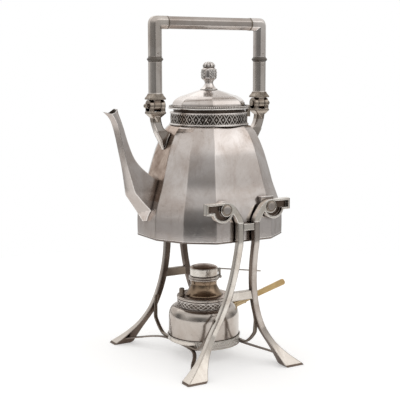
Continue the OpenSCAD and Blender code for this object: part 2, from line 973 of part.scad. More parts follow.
// Two hanging straps from leg to leg, leaning out at the bottom, under the lamp ring
strap_t = 2;
module lamp_strap(side) {
    y_leg = leg_y(54) - leg_bar / 2;
    out = smooth([
        [y_leg + 1.5, 58],
        [y_leg + 0.6, 51],
        [y_leg - 3.6, 41],
        [y_leg - 8.6, 32],
        [y_leg - 17, 23.6],
        [y_leg - 26, strap_drop - 1],
        [y_leg - 34, strap_drop - strap_t]
    ], 3);
    inn = smooth([
        [y_leg - 0.8, 58],
        [y_leg - 1.6, 51],
        [y_leg - 5.7, 41.9],
        [y_leg - 10.2, 33.4],
        [y_leg - 18.2, 25.3],
        [y_leg - 26.6, strap_drop + 0.9],
        [y_leg - 34, strap_drop]
    ], 3);
    difference() {
        intersection() {
            sheet(60, lamp_x + side * 28)
                union()
                    for (m = [0, 1])
                        mirror([m, 0])
                            polygon(concat([[-0.01, strap_drop - strap_t]], rev(out), inn, [[-0.01, strap_drop]]));
            slab(200)
                polygon([
                    [lamp_x + side * 33.6, 0],
                    [lamp_x + side * 33.6, 34],
                    [lamp_x + side * 26.8, 60],
                    [lamp_x + side * 23, 60],
                    [lamp_x + side * 29.8, 34],
                    [lamp_x + side * 29.8, 0]
                ]);
        }
        leg(side, -1);
        leg(side, 1);
        translate([0, -200 - leg_y(54), 0])
            cube([400, 400, 150], center = true);
        translate([0, 200 + leg_y(54), 0])
            cube([400, 400, 150], center = true);
    }
}

module lamp_straps() {
    color("silver") {
        lamp_strap(-1);
        lamp_strap(1);
    }
}

// Flat strip between the feet of one side: y, distance from the middle of the frame, height
stretch_w = 4.6;
stretch_t = 1.6;
stretch_z = strap_drop - strap_t - stretch_t / 2 - 0.1;
stretch_u = foot_spread - 62.5;
stretch_path = smooth([
    [0, 31, stretch_z],
    [20, 31.3, stretch_z],
    [36, 34, stretch_z - 0.5],
    [50, 41 + stretch_u * 0.4, stretch_z - 2.5],
    [62, 50 + stretch_u * 0.7, stretch_z - 5.3],
    [leg_y(9) - 7, 58 + stretch_u, stretch_z - 8.5],
    [leg_y(5), 64 + stretch_u, stretch_z - 11.5]
], 4);
module foot_stretcher(side) {
    w = stretch_w / 2;
    t = stretch_t / 2;
    difference() {
        intersection() {
            linear_extrude(height = 40)
                for (m = [0, 1])
                    mirror([0, m])
                        polygon(concat(
                            [for (p = stretch_path) [mid_x(15) + side * (p[1] - w), p[0]]],
                            rev([for (p = stretch_path) [mid_x(15) + side * (p[1] + w), p[0]]])));
            sheet(400)
                for (m = [0, 1])
                    mirror([m, 0])
                        polygon(concat(
                            [for (p = stretch_path) [p[0], p[2] - t]],
                            rev([for (p = stretch_path) [p[0], p[2] + t]])));
        }
        leg(side, -1);
        leg(side, 1);
        for (m = [-1, 1])
            translate([0, m * (leg_y(9) + 96), 0])
                cube([400, 200, 100], center = true);
    }
}

module foot_stretchers() {
    color("silver") {
        foot_stretcher(-1);
        foot_stretcher(1);
    }
}

// The ring's skirt is notched where the straps and the stretchers pass
module lamp_ring() {
    color("silver")
        translate([lamp_x, 0, 0])
            difference() {
                rotate_extrude()
                    polygon([
                        [lamp_r - 7.4, ring_z],
                        [lamp_r + 0.4, ring_z],
                        [lamp_r + 0.4, ring_z - 4.4],
                        [lamp_r + 1.7, ring_z - 4.4],
                        [lamp_r + 1.7, ring_z + 5.4],
                        [lamp_r + 0.5, ring_z + 5.4],
                        [lamp_r + 0.5, ring_z + 1.5],
                        [lamp_r - 7.4, ring_z + 1.5]
                    ]);
                for (s = [-1, 1])
                    translate([s * 32.5, 0, ring_z - 10])
                        cube([9, 200, 20], center = true);
            }
}

// Section: spirit lamp

lz = lamp_z;
lt = lamp_z + lamp_h;
res_outer = concat(
    [[lamp_r - 1.6, lz]],
    smooth([
        [lamp_r - 0.6, lz + 0.8],
        [lamp_r, lz + 4],
        [lamp_r, lz + lamp_h * 0.5],
        [lamp_r, lz + lamp_h * 0.72],
        [lamp_r - 1.6, lz + lamp_h * 0.88],
        [lamp_r - 5, lt - 0.8],
        [band_r + 1, lt]
    ], 3));

module lamp_place() {
    translate([lamp_x, 0, 0])
        children();
}

module reservoir_solid() {
    rotate_extrude()
        polygon(concat([[0, lz]], res_outer, [[0, lt]]));
}

module lamp_reservoir() {
    color("silver")
        lamp_place()
            rotate_extrude()
                polygon(concat(
                    [[0, lz]],
                    res_outer,
                    [[band_r - 4, lt], [band_r - 4, lt - 1.3]],
                    rev([for (p = res_outer) [p[0] - 1.3, min(max(p[1], lz + 1.3), lt - 1.3)]]),
                    [[0, lz + 1.3]]));
}

module lamp_foot() {
    color("silver")
        lamp_place()
            rotate_extrude()
                polygon([
                    [lamp_r - 15.4, lz - 9],
                    [lamp_r - 12.9, lz - 9],
                    [lamp_r - 12.6, lz - 7.6],
                    [lamp_r - 14, lz],
                    [lamp_r - 16.4, lz]
                ]);
}

module lamp_lattice_band() {
    color("silver")
        lamp_place()
            ring_solid(band_r, band_r - 1.4, lt, lt + 7.8);
}

cover_z = lt + 7.8;
module lamp_cover() {
    color("silver")
        lamp_place()
            rotate_extrude()
                polygon([
                    [10, cover_z],
                    [band_r - 0.8, cover_z],
                    [band_r - 0.8, cover_z + 0.9],
                    [band_r + 0.6, cover_z + 1.3],
                    [band_r + 0.6, cover_z + 3.2],
                    [band_r - 1, cover_z + 4.2],
                    [22.2, cover_z + 4.2],
                    [10, cover_z + 4.2]
                ]);
}

neck_z = cover_z + 4.2;
module burner_neck() {
    color("peru")
        lamp_place()
            rotate_extrude()
                polygon(concat(
                    [[19.8, neck_z], [21.8, neck_z]],
                    smooth([
                        [21.4, neck_z + 1.2],
                        [18.6, neck_z + 4.4],
                        [15.8, neck_z + 9],
                        [14.8, neck_z + 13.4],
                        [15.6, neck_z + 17]
                    ], 4),
                    [[11.4, neck_z + 17], [11.4, neck_z + 15.6], [13.4, neck_z + 14], [14.2, neck_z + 9],
                        [17, neck_z + 4.2]]));
}

ring_base = neck_z + 17;
module burner_rings() {
    color("silver")
        lamp_place()
            rotate_extrude()
                polygon(concat(
                    [[9.6, ring_base], [snuffer_r, ring_base]],
                    arc(snuffer_r + 0.2, ring_base + 1.3, 1.2, -80, 80, 6),
                    arc(snuffer_r + 0.2, ring_base + 3.9, 1.2, -80, 80, 6),
                    [[snuffer_r - 0.4, ring_base + 5.2], [9.6, ring_base + 5.2]]));
}

cap_z = ring_base + 5.4;
module wick_tube() {
    color("peru")
        lamp_place()
            union() {
                ring_solid(9.4, 6.2, neck_z, ring_base + 5.2);
                ring_solid(7.4, 6.2, ring_base + 5.2, ring_base + 8);
            }
}

module wick() {
    color("ivory")
        lamp_place()
            translate([0, 0, neck_z])
                cylinder(r = 6, h = ring_base + 9.6 - neck_z);
}

module snuffer_cap() {
    color("silver")
        lamp_place()
            rotate_extrude()
                polygon(concat(
                    [[snuffer_r - 1, cap_z], [snuffer_r, cap_z], [snuffer_r, cap_z + 8.4]],
                    smooth([
                        [snuffer_r - 0.8, cap_z + 9.4],
                        [snuffer_r * 0.8, cap_z + 10.6],
                        [snuffer_r * 0.4, cap_z + 12],
                        [0, cap_z + 12.6]
                    ], 3),
                    [[0, cap_z + 11.4], [snuffer_r * 0.4, cap_z + 10.8], [snuffer_r - 2, cap_z + 8.6],
                        [snuffer_r - 1, cap_z + 7.8]]));
}

lever_turn = -14;
piv_x = snuffer_r + 3;
piv_z = ring_base + 2.6;
module lever_place() {
    lamp_place()
        rotate([0, 0, lever_turn])
            children();
}

module snuffer_lever() {
    color("gray")
        lever_place()
            difference() {
                union() {
                    translate([piv_x, 0, piv_z])
                        rod_y(1.7, -1.4, 1.4);
                    translate([piv_x - 1, -1.4, piv_z])
                        cube([2, 2.8, 9.6]);
                    translate([snuffer_r - 2, -1.4, cap_z + 2.6])
                        cube([piv_x - snuffer_r + 1.2, 2.8, 4]);
                    translate([piv_x, 0, piv_z + 8.8])
                        rotate([0, 97, 0])
                            cylinder(r = 0.8, h = 50, $fn = 24);
                }
                translate([0, 0, cap_z - 1])
                    cylinder(r = snuffer_r, h = 12);
                translate([piv_x, 0, piv_z])
                    rod_y(0.8 + running_gap, -5, 5);
            }
}

module snuffer_hinge() {
    color("gray")
        lever_place()
            difference() {
                union() {
                    for (s = [-1, 1])
                        translate([0, s > 0 ? 1.6 : -3.2, 0]) {
                            translate([snuffer_r - 1, 0, piv_z - 1.4])
                                cube([piv_x - snuffer_r + 1, 1.6, 2.8]);
                            translate([piv_x, 0, piv_z])
                                rod_y(1.7, 0, 1.6);
                        }
                    translate([piv_x, 0, piv_z])
                        rod_y(0.8, -3.6, 3.6);
                }
                rotate_extrude()
                    polygon(concat(
                        [[0, ring_base - 1], [snuffer_r + 0.02, ring_base - 1]],
                        arc(snuffer_r + 0.22, ring_base + 1.3, 1.2, -80, 80, 6),
                        arc(snuffer_r + 0.22, ring_base + 3.9, 1.2, -80, 80, 6),
                        [[0, ring_base + 5.2]]));
            }
}

fill_x = -26.2;
fill_y = 4.5;
module filler_tube() {
    color("silver")
        lamp_place()
            translate([fill_x, fill_y, 0])
                ring_solid(3.3, 2.2, cover_z + 4.2, cover_z + 7.2);
}

module filler_plug() {
    color("silver")
        lamp_place()
            translate([fill_x, fill_y, 0])
                rotate_extrude()
                    polygon([
                        [0, cover_z + 4.6],
                        [2.15, cover_z + 4.6],
                        [2.15, cover_z + 7.3],
                        [3, cover_z + 7.3],
                        [3, cover_z + 12.4],
                        [2.4, cover_z + 13.4],
                        [0, cover_z + 13.4]
                    ]);
}

module handle_place() {
    lamp_place()
        translate([handle_root, 0, handle_z])
            rotate([0, 90 - handle_slope, 0])
                translate([0, 0, 0])
                    children();
}

ferrule_len = 20;
module handle_ferrule() {
    color("silver")
        difference() {
            handle_place()
                rotate_extrude()
                    polygon([
                        [0, -6],
                        [5.4, -6],
                        [5.4, 5.2],
                        [3.9, 7],
                        [3.7, ferrule_len - 1.6],
                        [4.3, ferrule_len - 1.2],
                        [4.3, ferrule_len],
                        [0, ferrule_len]
                    ]);
            lamp_place()
                reservoir_solid();
        }
}

module handle_grip() {
    color("burlywood")
        handle_place()
            rotate_extrude()
                polygon([
                    [0, ferrule_len],
                    [3.1, ferrule_len],
                    [3.3, ferrule_len + (handle_len - ferrule_len) * 0.3],
                    [handle_r, handle_len - 1.2],
                    [handle_r, handle_len],
                    [0, handle_len]
                ]);
}

// Every node, moved so that the origin is below the middle of the whole object
translate([shift_x, 0, 0])
        kettle_body();
translate([shift_x, 0, 0])
        kettle_base();
translate([shift_x, 0, 0])
        neck_collar();
translate([shift_x, 0, 0])
        gallery_band();
translate([shift_x, 0, 0])
        gallery_rims();
translate([shift_x, 0, 0])
        spout();
translate([shift_x, 0, 0])
        pivot_studs();
translate([shift_x, 0, 0])
        stud_caps();
translate([shift_x, 0, 0])
        rest_lugs();
translate([shift_x, 0, 0])
        bail_bracket_spout();
translate([shift_x, 0, 0])
        bail_bracket_rear();
translate([shift_x, 0, 0])
        bail_hinge_pins();
translate([shift_x, 0, 0])
        lid_dome();
translate([shift_x, 0, 0])
        lid_rim();
translate([shift_x, 0, 0])
        lid_milled_band();
translate([shift_x, 0, 0])
        lid_knuckle();
translate([shift_x, 0, 0])
        gallery_knuckles();
translate([shift_x, 0, 0])
        lid_hinge_pin();
translate([shift_x, 0, 0])
        finial_base();
translate([shift_x, 0, 0])
        finial_acorn();
translate([shift_x, 0, 0])
        finial_nut();
translate([shift_x, 0, 0])
        bail_foot_spout();
translate([shift_x, 0, 0])
        bail_foot_rear();
translate([shift_x, 0, 0])
        bail_insulators();
translate([shift_x, 0, 0])
        bail_rivets();
translate([shift_x, 0, 0])
        bail_elbow_spout();
translate([shift_x, 0, 0])
        bail_elbow_rear();
translate([shift_x, 0, 0])
        bail_joint_rings();
translate([shift_x, 0, 0])
        bail_grip();
translate([shift_x, 0, 0])
        leg_spout_near();
translate([shift_x, 0, 0])
        leg_spout_far();
translate([shift_x, 0, 0])
        leg_rear_near();
translate([shift_x, 0, 0])
        leg_rear_far();
translate([shift_x, 0, 0])
        pin_bracket_spout_near();
translate([shift_x, 0, 0])
        pin_bracket_spout_far();
translate([shift_x, 0, 0])
        pin_bracket_rear_near();
translate([shift_x, 0, 0])
        pin_bracket_rear_far();
translate([shift_x, 0, 0])
        rest_pins();
translate([shift_x, 0, 0])
        upper_crossbars();
translate([shift_x, 0, 0])
        lower_crossbars();
translate([shift_x, 0, 0])
        lamp_straps();
translate([shift_x, 0, 0])
        foot_stretchers();
translate([shift_x, 0, 0])
        lamp_ring();
translate([shift_x, 0, 0])
        lamp_reservoir();
translate([shift_x, 0, 0])
        lamp_foot();
translate([shift_x, 0, 0])
        lamp_lattice_band();
translate([shift_x, 0, 0])
        lamp_cover();
translate([shift_x, 0, 0])
        burner_neck();
translate([shift_x, 0, 0])
        burner_rings();
translate([shift_x, 0, 0])
        wick_tube();
translate([shift_x, 0, 0])
        wick();
translate([shift_x, 0, 0])
        snuffer_cap();
translate([shift_x, 0, 0])
        snuffer_lever();
translate([shift_x, 0, 0])
        snuffer_hinge();
translate([shift_x, 0, 0])
        filler_tube();
translate([shift_x, 0, 0])
        filler_plug();
translate([shift_x, 0, 0])
        handle_ferrule();
translate([shift_x, 0, 0])
        handle_grip();
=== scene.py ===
import json
from math import asin, atan2, cos, degrees, hypot, pi, radians, sin, sqrt
import bmesh
import bpy
import numpy as np
from mathutils import Matrix, Vector


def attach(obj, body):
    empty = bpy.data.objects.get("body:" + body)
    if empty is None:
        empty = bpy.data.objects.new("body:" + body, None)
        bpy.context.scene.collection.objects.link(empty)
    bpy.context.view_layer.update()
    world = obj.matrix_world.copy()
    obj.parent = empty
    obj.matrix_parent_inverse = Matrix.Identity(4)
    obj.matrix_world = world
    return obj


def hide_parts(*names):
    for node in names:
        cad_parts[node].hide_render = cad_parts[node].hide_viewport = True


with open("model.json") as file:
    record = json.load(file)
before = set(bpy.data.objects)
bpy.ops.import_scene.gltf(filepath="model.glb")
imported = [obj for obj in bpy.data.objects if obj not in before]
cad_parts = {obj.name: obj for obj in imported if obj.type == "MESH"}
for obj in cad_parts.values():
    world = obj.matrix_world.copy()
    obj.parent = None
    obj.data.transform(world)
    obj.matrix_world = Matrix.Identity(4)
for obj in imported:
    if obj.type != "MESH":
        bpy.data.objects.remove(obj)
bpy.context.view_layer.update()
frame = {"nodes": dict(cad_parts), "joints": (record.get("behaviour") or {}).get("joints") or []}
scene = bpy.context.scene
MM = 0.001
joints = {j["name"]: j for j in frame["joints"]}
SX = joints["bail_swing"]["pos_m"][0] / MM

# sizes shared with the part's source, in millimetres
BASE_Z, BODY_H, BODY_R, SHOULDER_R, WALL = 141.0, 121.0, 82.2, 49.0, 1.6
BASE_T = 1.8
TOP_Z = BASE_Z + BODY_H
NECK_R, NECK_H = 39.5, 18.0
GAL_R, GAL_H, GAL_N = 42.8, 14.0, 36
LID_R, DOME_H, FIN_H = 45.0, 19.0, 31.2
BAIL_X, BAIL_F = 67.2, 14.0
HINGE_Z = TOP_Z + 22.5
BAIL_TOP = HINGE_Z + 95.5
GRIP_HALF, KNUCKLE_R = 53.0, 6.3
PANEL_Y = (BODY_R + 0.2) * cos(radians(25))
LEG_BAR, PIN_X, PIN_Z, PIN_R = 7.0, 27.8, 178.3, 5.0
BR_Y = PANEL_Y + 1.4
FRAME_Y = BR_Y + LEG_BAR / 2
FOOT_SPREAD, FOOT_SPLAY, FOOT_LEAN = 62.5, 8.0, 8.0
LAMP_R, LAMP_H, BAND_R, SNUF_R = 40.0, 36.6, 30.2, 15.9
LAMP_X = -FOOT_LEAN * 0.85
RING_Z = 19.0
LZ = RING_Z + 1.8
LT = LZ + LAMP_H
COVER_Z = LT + 7.8
NECK2_Z = COVER_Z + 4.2
RING_BASE = NECK2_Z + 17
CAP_Z = RING_BASE + 5.4
NECK_TOP = TOP_Z + NECK_H
LID_Z = NECK_TOP + 1.6
FIN_Z = LID_Z + DOME_H
INS_Z = HINGE_Z + 95.5 * 0.518
BODY_ANGLES = [25, 50, 75, 105, 130, 155, 205, 230, 255, 285, 310, 335]
LID_ANGLES = [25, 75, 105, 155, 205, 255, 285, 335]


def spline(p, n):
    """A smooth curve through the points, with n steps from one to the next."""
    out = []
    p = [np.array(q, float) for q in p]
    for i in range(len(p) - 1):
        a, b, c, d = p[max(i - 1, 0)], p[i], p[i + 1], p[min(i + 2, len(p) - 1)]
        for k in range(n):
            t = k / n
            out.append(0.5 * (2 * b + (c - a) * t + (2 * a - 5 * b + 4 * c - d) * t * t
                              + (3 * b - a - 3 * c + d) * t ** 3))
    out.append(p[-1])
    return [tuple(q) for q in out]


def arc(cx, cy, r, a0, a1, n):
    """Points of an arc, angles in degrees."""
    return [(cx + r * cos(radians(a0 + (a1 - a0) * i / n)),
             cy + r * sin(radians(a0 + (a1 - a0) * i / n))) for i in range(n + 1)]


def at(x, y, z, turn=0, axis="X"):
    """Moves to this point, after a turn in degrees."""
    return Matrix.Translation((x, y, z)) @ Matrix.Rotation(radians(turn), 4, axis)


def limit(value):
    return max(0, min(1, value))


class Build:
    """Collects closed meshes of one piece, in millimetres."""

    def __init__(self):
        self.v, self.f = [], []

    def add(self, verts, faces, move=None):
        base = len(self.v)
        for p in verts:
            q = Vector(p)
            self.v.append(tuple(move @ q) if move is not None else tuple(q))
        self.f += [[i + base for i in f] for f in faces]

    def rings(self, rings, loop=False, move=None):
        """A skin over rings of points, closed at both ends, or from the last ring to the first with loop."""
        n, m = len(rings[0]), len(rings)
        faces = []
        for i in range(m if loop else m - 1):
            j = (i + 1) % m
            for k in range(n):
                k2 = (k + 1) % n
                faces.append([i * n + k, i * n + k2, j * n + k2, j * n + k])
        if not loop:
            faces.append(list(range(n))[::-1])
            faces.append([(m - 1) * n + k for k in range(n)])
        self.add([p for r in rings for p in r], faces, move)

    def lathe(self, profile, seg=96, move=None, loop=False, wobble=None):
        """profile is (r, z) from the lower or inner end to the other; points with r = 0 close the form."""
        rings = []
        for i, (r, z) in enumerate(profile):
            ring = []
            for k in range(seg):
                a = 2 * pi * k / seg
                rr, zz = (r, z) if wobble is None else wobble(r, z, a, i)
                ring.append((max(rr, 1e-4) * cos(a), max(rr, 1e-4) * sin(a), zz))
            rings.append(ring)
        self.rings(rings, loop, move)

    def box(self, lo, hi, move=None):
        x0, y0, z0 = lo
        x1, y1, z1 = hi
        v = [(x0, y0, z0), (x1, y0, z0), (x1, y1, z0), (x0, y1, z0),
             (x0, y0, z1), (x1, y0, z1), (x1, y1, z1), (x0, y1, z1)]
        f = [[3, 2, 1, 0], [4, 5, 6, 7], [0, 1, 5, 4], [1, 2, 6, 5], [2, 3, 7, 6], [3, 0, 4, 7]]
        self.add(v, f, move)

    def plate(self, pts, y0, y1, move=None):
        """An outline in X-Z, extruded from y0 to y1."""
        n = len(pts)
        v = [(x, y0, z) for x, z in pts] + [(x, y1, z) for x, z in pts]
        f = [list(range(n)), [n + k for k in range(n)][::-1]]
        for k in range(n):
            k2 = (k + 1) % n
            f.append([k, n + k, n + k2, k2])
        self.add(v, f, move)

    def tube(self, path, radius, seg=16, move=None):
        pts = [Vector(p) for p in path]
        rings = []
        up = None
        for i, p in enumerate(pts):
            t = (pts[min(i + 1, len(pts) - 1)] - pts[max(i - 1, 0)]).normalized()
            if up is None:
                up = Vector((0, 0, 1)) if abs(t.z) < 0.9 else Vector((1, 0, 0))
            side = t.cross(up).normalized()
            up = side.cross(t).normalized()
            turns = [2 * pi * k / seg for k in range(seg)]
            rings.append([tuple(p + side * cos(a) * radius + up * sin(a) * radius) for a in turns])
        self.rings(rings, move=move)

    def done(self, name, body, mat, nodes, angle=35, bevel=None, slot="silver_plate", weighted=True):
        """Makes the object, with its edges, material, body and the CAD nodes that it replaces. The slot
        argument is not used.
        """
        me = bpy.data.meshes.new(name)
        me.from_pydata([((x + SX) * MM, y * MM, z * MM) for x, y, z in self.v], [], self.f)
        me.validate()
        bm = bmesh.new()
        bm.from_mesh(me)
        bmesh.ops.remove_doubles(bm, verts=bm.verts, dist=2e-7)
        bmesh.ops.recalc_face_normals(bm, faces=bm.faces)
        bm.to_mesh(me)
        bm.free()
        me.shade_smooth()
        me.set_sharp_from_angle(angle=radians(angle))
        ob = bpy.data.objects.new(name, me)
        scene.collection.objects.link(ob)
        me.materials.append(mat)
        finish_edges(ob, bevel, 2, weighted)
        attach(ob, body)
        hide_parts(*nodes)
        return ob


def finish_edges(ob, bevel, segments=2, weighted=True):
    if bevel:
        b = ob.modifiers.new("edge", "BEVEL")
        b.width = bevel * MM
        b.segments = segments
        b.limit_method = "ANGLE"
        b.angle_limit = radians(32)
        b.miter_outer = "MITER_ARC"
    if weighted:
        w = ob.modifiers.new("flat", "WEIGHTED_NORMAL")
        w.keep_sharp = True
        w.weight = 60


def paint(ob, mat, test):
    """Gives another material to the faces that pass the test of their middle, in millimetres, and normal."""
    ob.data.materials.append(mat)
    k = len(ob.data.materials) - 1
    for q in ob.data.polygons:
        c = q.center / MM
        if test(Vector((c.x - SX, c.y, c.z)), q.normal):
            q.material_index = k


def keep(node, mat, bevel=0.25, angle=35, segments=2):
    """Shows a CAD node itself, with soft edges and a material."""
    ob = frame["nodes"][node]
    ob.data.materials.clear()
    ob.data.materials.append(mat)
    ob.data.shade_smooth()
    ob.data.set_sharp_from_angle(angle=radians(angle))
    finish_edges(ob, bevel, segments)
    return ob


# materials

class Nodes:
    """Short calls for the node tree of a material or world."""

    def __init__(self, owner):
        owner.use_nodes = True
        self.tree = owner.node_tree
        self.tree.nodes.clear()

    def put(self, socket, value):
        if isinstance(value, bpy.types.NodeSocket):
            self.tree.links.new(value, socket)
        elif value is not None:
            socket.default_value = value

    def new(self, kind, *values, **fields):
        """A node with its first sockets set or linked. A field names a setting of the node."""
        node = self.tree.nodes.new("ShaderNode" + kind)
        for key, value in fields.items():
            setattr(node, key, value)
        for i, value in enumerate(values):
            self.put(node.inputs[i], value)
        return node

    def math(self, operation, a, b):
        return self.new("Math", a, b, operation=operation).outputs[0]

    def mul(self, a, b):
        return self.math("MULTIPLY", a, b)

    def ramp(self, value, low, high):
        return self.new("MapRange", value, low, high).outputs[0]

    def mix(self, fac, a, b):
        node = self.new("Mix", fac, data_type="RGBA")
        for i, v in ((6, a), (7, b)):
            self.put(node.inputs[i], (*v, 1) if isinstance(v, tuple) else v)
        return node.outputs[2]

    def noise(self, scale, detail, roughness, vector, distortion=0.0):
        node = self.new("TexNoise", vector)
        for key, value in (("Scale", scale), ("Detail", detail), ("Roughness", roughness),
                           ("Distortion", distortion)):
            node.inputs[key].default_value = value
        return node.outputs["Fac"]


def metal(name, base, tarnish, rough=0.28, amount=0.5, scale=22.0, bump=0.12, seed=0.0, edge=0.0,
          metallic=1.0, recess_dirt_and_shade=0.0, reach=0.006, line=0.0, foot=0.0):
    """A worn plated metal: patina, streaks, spots, dirt and painted shade in recesses, edges lighter as wear
    and painted highlight or darker as a painted dark reflection, a painted lighter tone near the floor,
    scratches.
    """
    # The dark brown (third value) is painted shade in recesses and along dark edges, with some dirt.
    spots, scratch, shade_brown = 0.4, 0.5, (0.09, 0.06, 0.045)
    m = bpy.data.materials.new(name)
    n = Nodes(m)
    bs = n.new("BsdfPrincipled")
    n.new("OutputMaterial", bs.outputs[0])
    n.put(bs.inputs["Metallic"], metallic)
    where = n.new("TexCoord").outputs["Object"]
    moved = n.new("Mapping", where, (seed, seed * 0.7, -seed)).outputs[0]
    cloud = n.ramp(n.noise(scale, 5, 0.62, moved, 0.6), 0.40, 0.72)
    speck = n.ramp(n.noise(scale * 14, 3, 0.5, moved), 0.60, 0.72)
    fleck = n.ramp(n.noise(scale * 45, 2, 0.5, moved), 0.66, 0.74)
    col = n.mix(n.mul(cloud, amount), base, tarnish)
    dark = tuple(c * 0.4 for c in tarnish)
    col = n.mix(n.mul(n.mul(speck, cloud), spots), col, dark)
    col = n.mix(n.mul(fleck, spots * 0.5), col, dark)
    # Painted light: the colour turns lighter towards the floor, for the light the flared feet catch.
    if foot:
        height = n.new("SeparateXYZ", where).outputs[2]
        low = n.ramp(n.math("ADD", height, n.mul(cloud, 0.012)), 0.075, 0.012)
        col = n.mix(n.mul(low, foot), col, (0.86, 0.80, 0.73))
    tall = n.new("Mapping", where, (seed, -seed, seed), None, (1.0, 1.0, 0.16)).outputs[0]
    streak = n.ramp(n.noise(120, 4, 0.6, tall, 0.4), 0.54, 0.72)
    col = n.mix(n.mul(streak, 0.45 * amount), col, tarnish)
    # Dirt and painted shade: recesses and corners darken where ambient occlusion is low.
    if recess_dirt_and_shade:
        ao = n.new("AmbientOcclusion", None, reach, samples=8, only_local=False)
        dirt_and_shade_mask = n.ramp(ao.outputs["AO"], 0.90, 0.46)
        col = n.mix(n.mul(dirt_and_shade_mask, recess_dirt_and_shade), col, shade_brown)
    lines = n.noise(2600, 2, 0.6, n.new("Mapping", where, None, (0.3, 0.2, 0.4), (1.0, 1.0, 0.06)).outputs[0])
    bp = n.new("Bump")
    if edge:
        bev = n.new("Bevel", 0.0016 if line else 0.0011, samples=6).outputs[0]
        normal = n.new("NewGeometry").outputs["Normal"]
        near = n.new("VectorMath", bev, normal, operation="DOT_PRODUCT").outputs["Value"]
        # Painted dark reflection: a dark outline along rounded edges.
        if line:
            col = n.mix(n.mul(n.ramp(near, 0.9995, 0.985), line), col, shade_brown)
        # Edges lighter: partly wear, partly a painted highlight along the creases.
        wear_and_highlight = n.ramp(near, 0.90 if line else 0.998, 0.80 if line else 0.972)
        col = n.mix(n.mul(wear_and_highlight, edge), col, tuple(min(1, c * 1.15 + 0.17) for c in base))
        n.put(bp.inputs["Normal"], bev)
    n.put(bs.inputs["Base Color"], col)
    r = n.math("ADD", n.mul(cloud, 0.10), n.mul(lines, 0.16 * scratch))
    r = n.math("ADD", r, n.mul(speck, 0.08))
    n.put(bs.inputs["Roughness"], n.math("ADD", r, rough - 0.06))
    waves = n.noise(scale * 2.2, 2, 0.5, moved)
    n.put(bp.inputs["Strength"], bump)
    n.put(bp.inputs["Distance"], 0.0004)
    n.put(bp.inputs["Height"], n.math("ADD", n.mul(lines, 0.2 * scratch), n.mul(waves, 1.3)))
    n.put(bs.inputs["Normal"], bp.outputs[0])
    return m


# Settings below: edge lightens edges (wear and painted highlight), line adds dark edge outlines (painted dark
# reflection), foot lightens the colour near the floor (painted light), and the recess setting darkens hollows
# (dirt and painted shade).
silver = metal("silver", (0.745, 0.695, 0.67), (0.43, 0.35, 0.30), rough=0.16, amount=0.75, bump=0.10,
               edge=0.7, recess_dirt_and_shade=0.85)
silver_lid = metal("silver_lid", (0.78, 0.73, 0.70), (0.40, 0.32, 0.27), rough=0.15, amount=0.5, seed=2.0,
                   bump=0.05, edge=0.6, recess_dirt_and_shade=0.85, reach=0.003)
silver_bail = metal("silver_bail", (0.74, 0.69, 0.645), (0.34, 0.275, 0.23), rough=0.20, amount=0.6, seed=5.0,
                    bump=0.05, edge=0.6, recess_dirt_and_shade=0.9, reach=0.005, line=0.3)
silver_leg = metal("silver_leg", (0.74, 0.70, 0.645), (0.38, 0.30, 0.24), rough=0.19, amount=0.65, seed=9.0,
                   scale=30, bump=0.05, edge=0.8, recess_dirt_and_shade=0.9, reach=0.007, line=0.45, foot=0.5)
# A shaded copy of the leg silver: painted shade on the far legs and on side faces.
silver_leg_shaded = metal("silver_leg_shaded", (0.52, 0.475, 0.435), (0.27, 0.205, 0.165), rough=0.20, amount=0.65,
                    seed=10.0, scale=30, bump=0.05, edge=0.9, recess_dirt_and_shade=0.9, reach=0.007, line=0.5, foot=0.45)
silver_open = metal("silver_open", (0.84, 0.79, 0.75), (0.46, 0.38, 0.32), rough=0.22, amount=0.5, seed=7.0,
                    scale=60, bump=0.05, recess_dirt_and_shade=0.5, reach=0.002)
# A lighter copy of the silver: painted light on the hook fronts and upward faces.
silver_hook_lit = metal("silver_hook_lit", (0.93, 0.885, 0.81), (0.42, 0.32, 0.24), rough=0.20, amount=0.5, seed=8.0,
                    scale=50, bump=0.05, edge=0.8, recess_dirt_and_shade=0.9, reach=0.005, line=0.4)
# A darker copy of the silver: painted shade on faces that see less light.
silver_front_shaded = metal("silver_front_shaded", (0.52, 0.475, 0.445), (0.32, 0.25, 0.21), rough=0.19, amount=0.6,
                     seed=3.0, bump=0.05, edge=0.8, recess_dirt_and_shade=0.8)
# A near-black copy of the silver: painted shade on inner faces, undersides and recesses.
silver_in_shade = metal("silver_in_shade", (0.17, 0.13, 0.105), (0.065, 0.045, 0.035), rough=0.28, amount=0.8,
                    seed=11.0, bump=0.06, edge=0.8, recess_dirt_and_shade=0.5)
# A darker copy of the silver for the lamp: painted shade against the light bounced from the floor.
silver_lamp_shaded = metal("silver_lamp_shaded", (0.53, 0.485, 0.445), (0.33, 0.255, 0.205), rough=0.17, amount=0.6,
                    seed=13.0, bump=0.045, edge=0.5, recess_dirt_and_shade=0.85, reach=0.010)
silver_joint = metal("silver_joint", (0.50, 0.44, 0.375), (0.17, 0.12, 0.085), rough=0.18, amount=0.8,
                     seed=14.0, scale=50, bump=0.05, edge=0.9, recess_dirt_and_shade=0.95, reach=0.005, line=0.5)
silver_dark = metal("silver_dark", (0.24, 0.195, 0.155), (0.09, 0.065, 0.05), rough=0.30, amount=0.7,
                    seed=15.0, bump=0.08, edge=0.6, recess_dirt_and_shade=0.8, reach=0.004)
silver_copper = metal("silver_copper", (0.54, 0.435, 0.37), (0.26, 0.175, 0.13), rough=0.28, amount=0.9,
                      seed=16.0, scale=75, bump=0.06, edge=0.5, recess_dirt_and_shade=0.8)
brass_worn = metal("brass_worn", (0.33, 0.24, 0.165), (0.12, 0.08, 0.055), rough=0.20, amount=0.8, seed=17.0,
                   bump=0.06, edge=0.4, recess_dirt_and_shade=0.7)
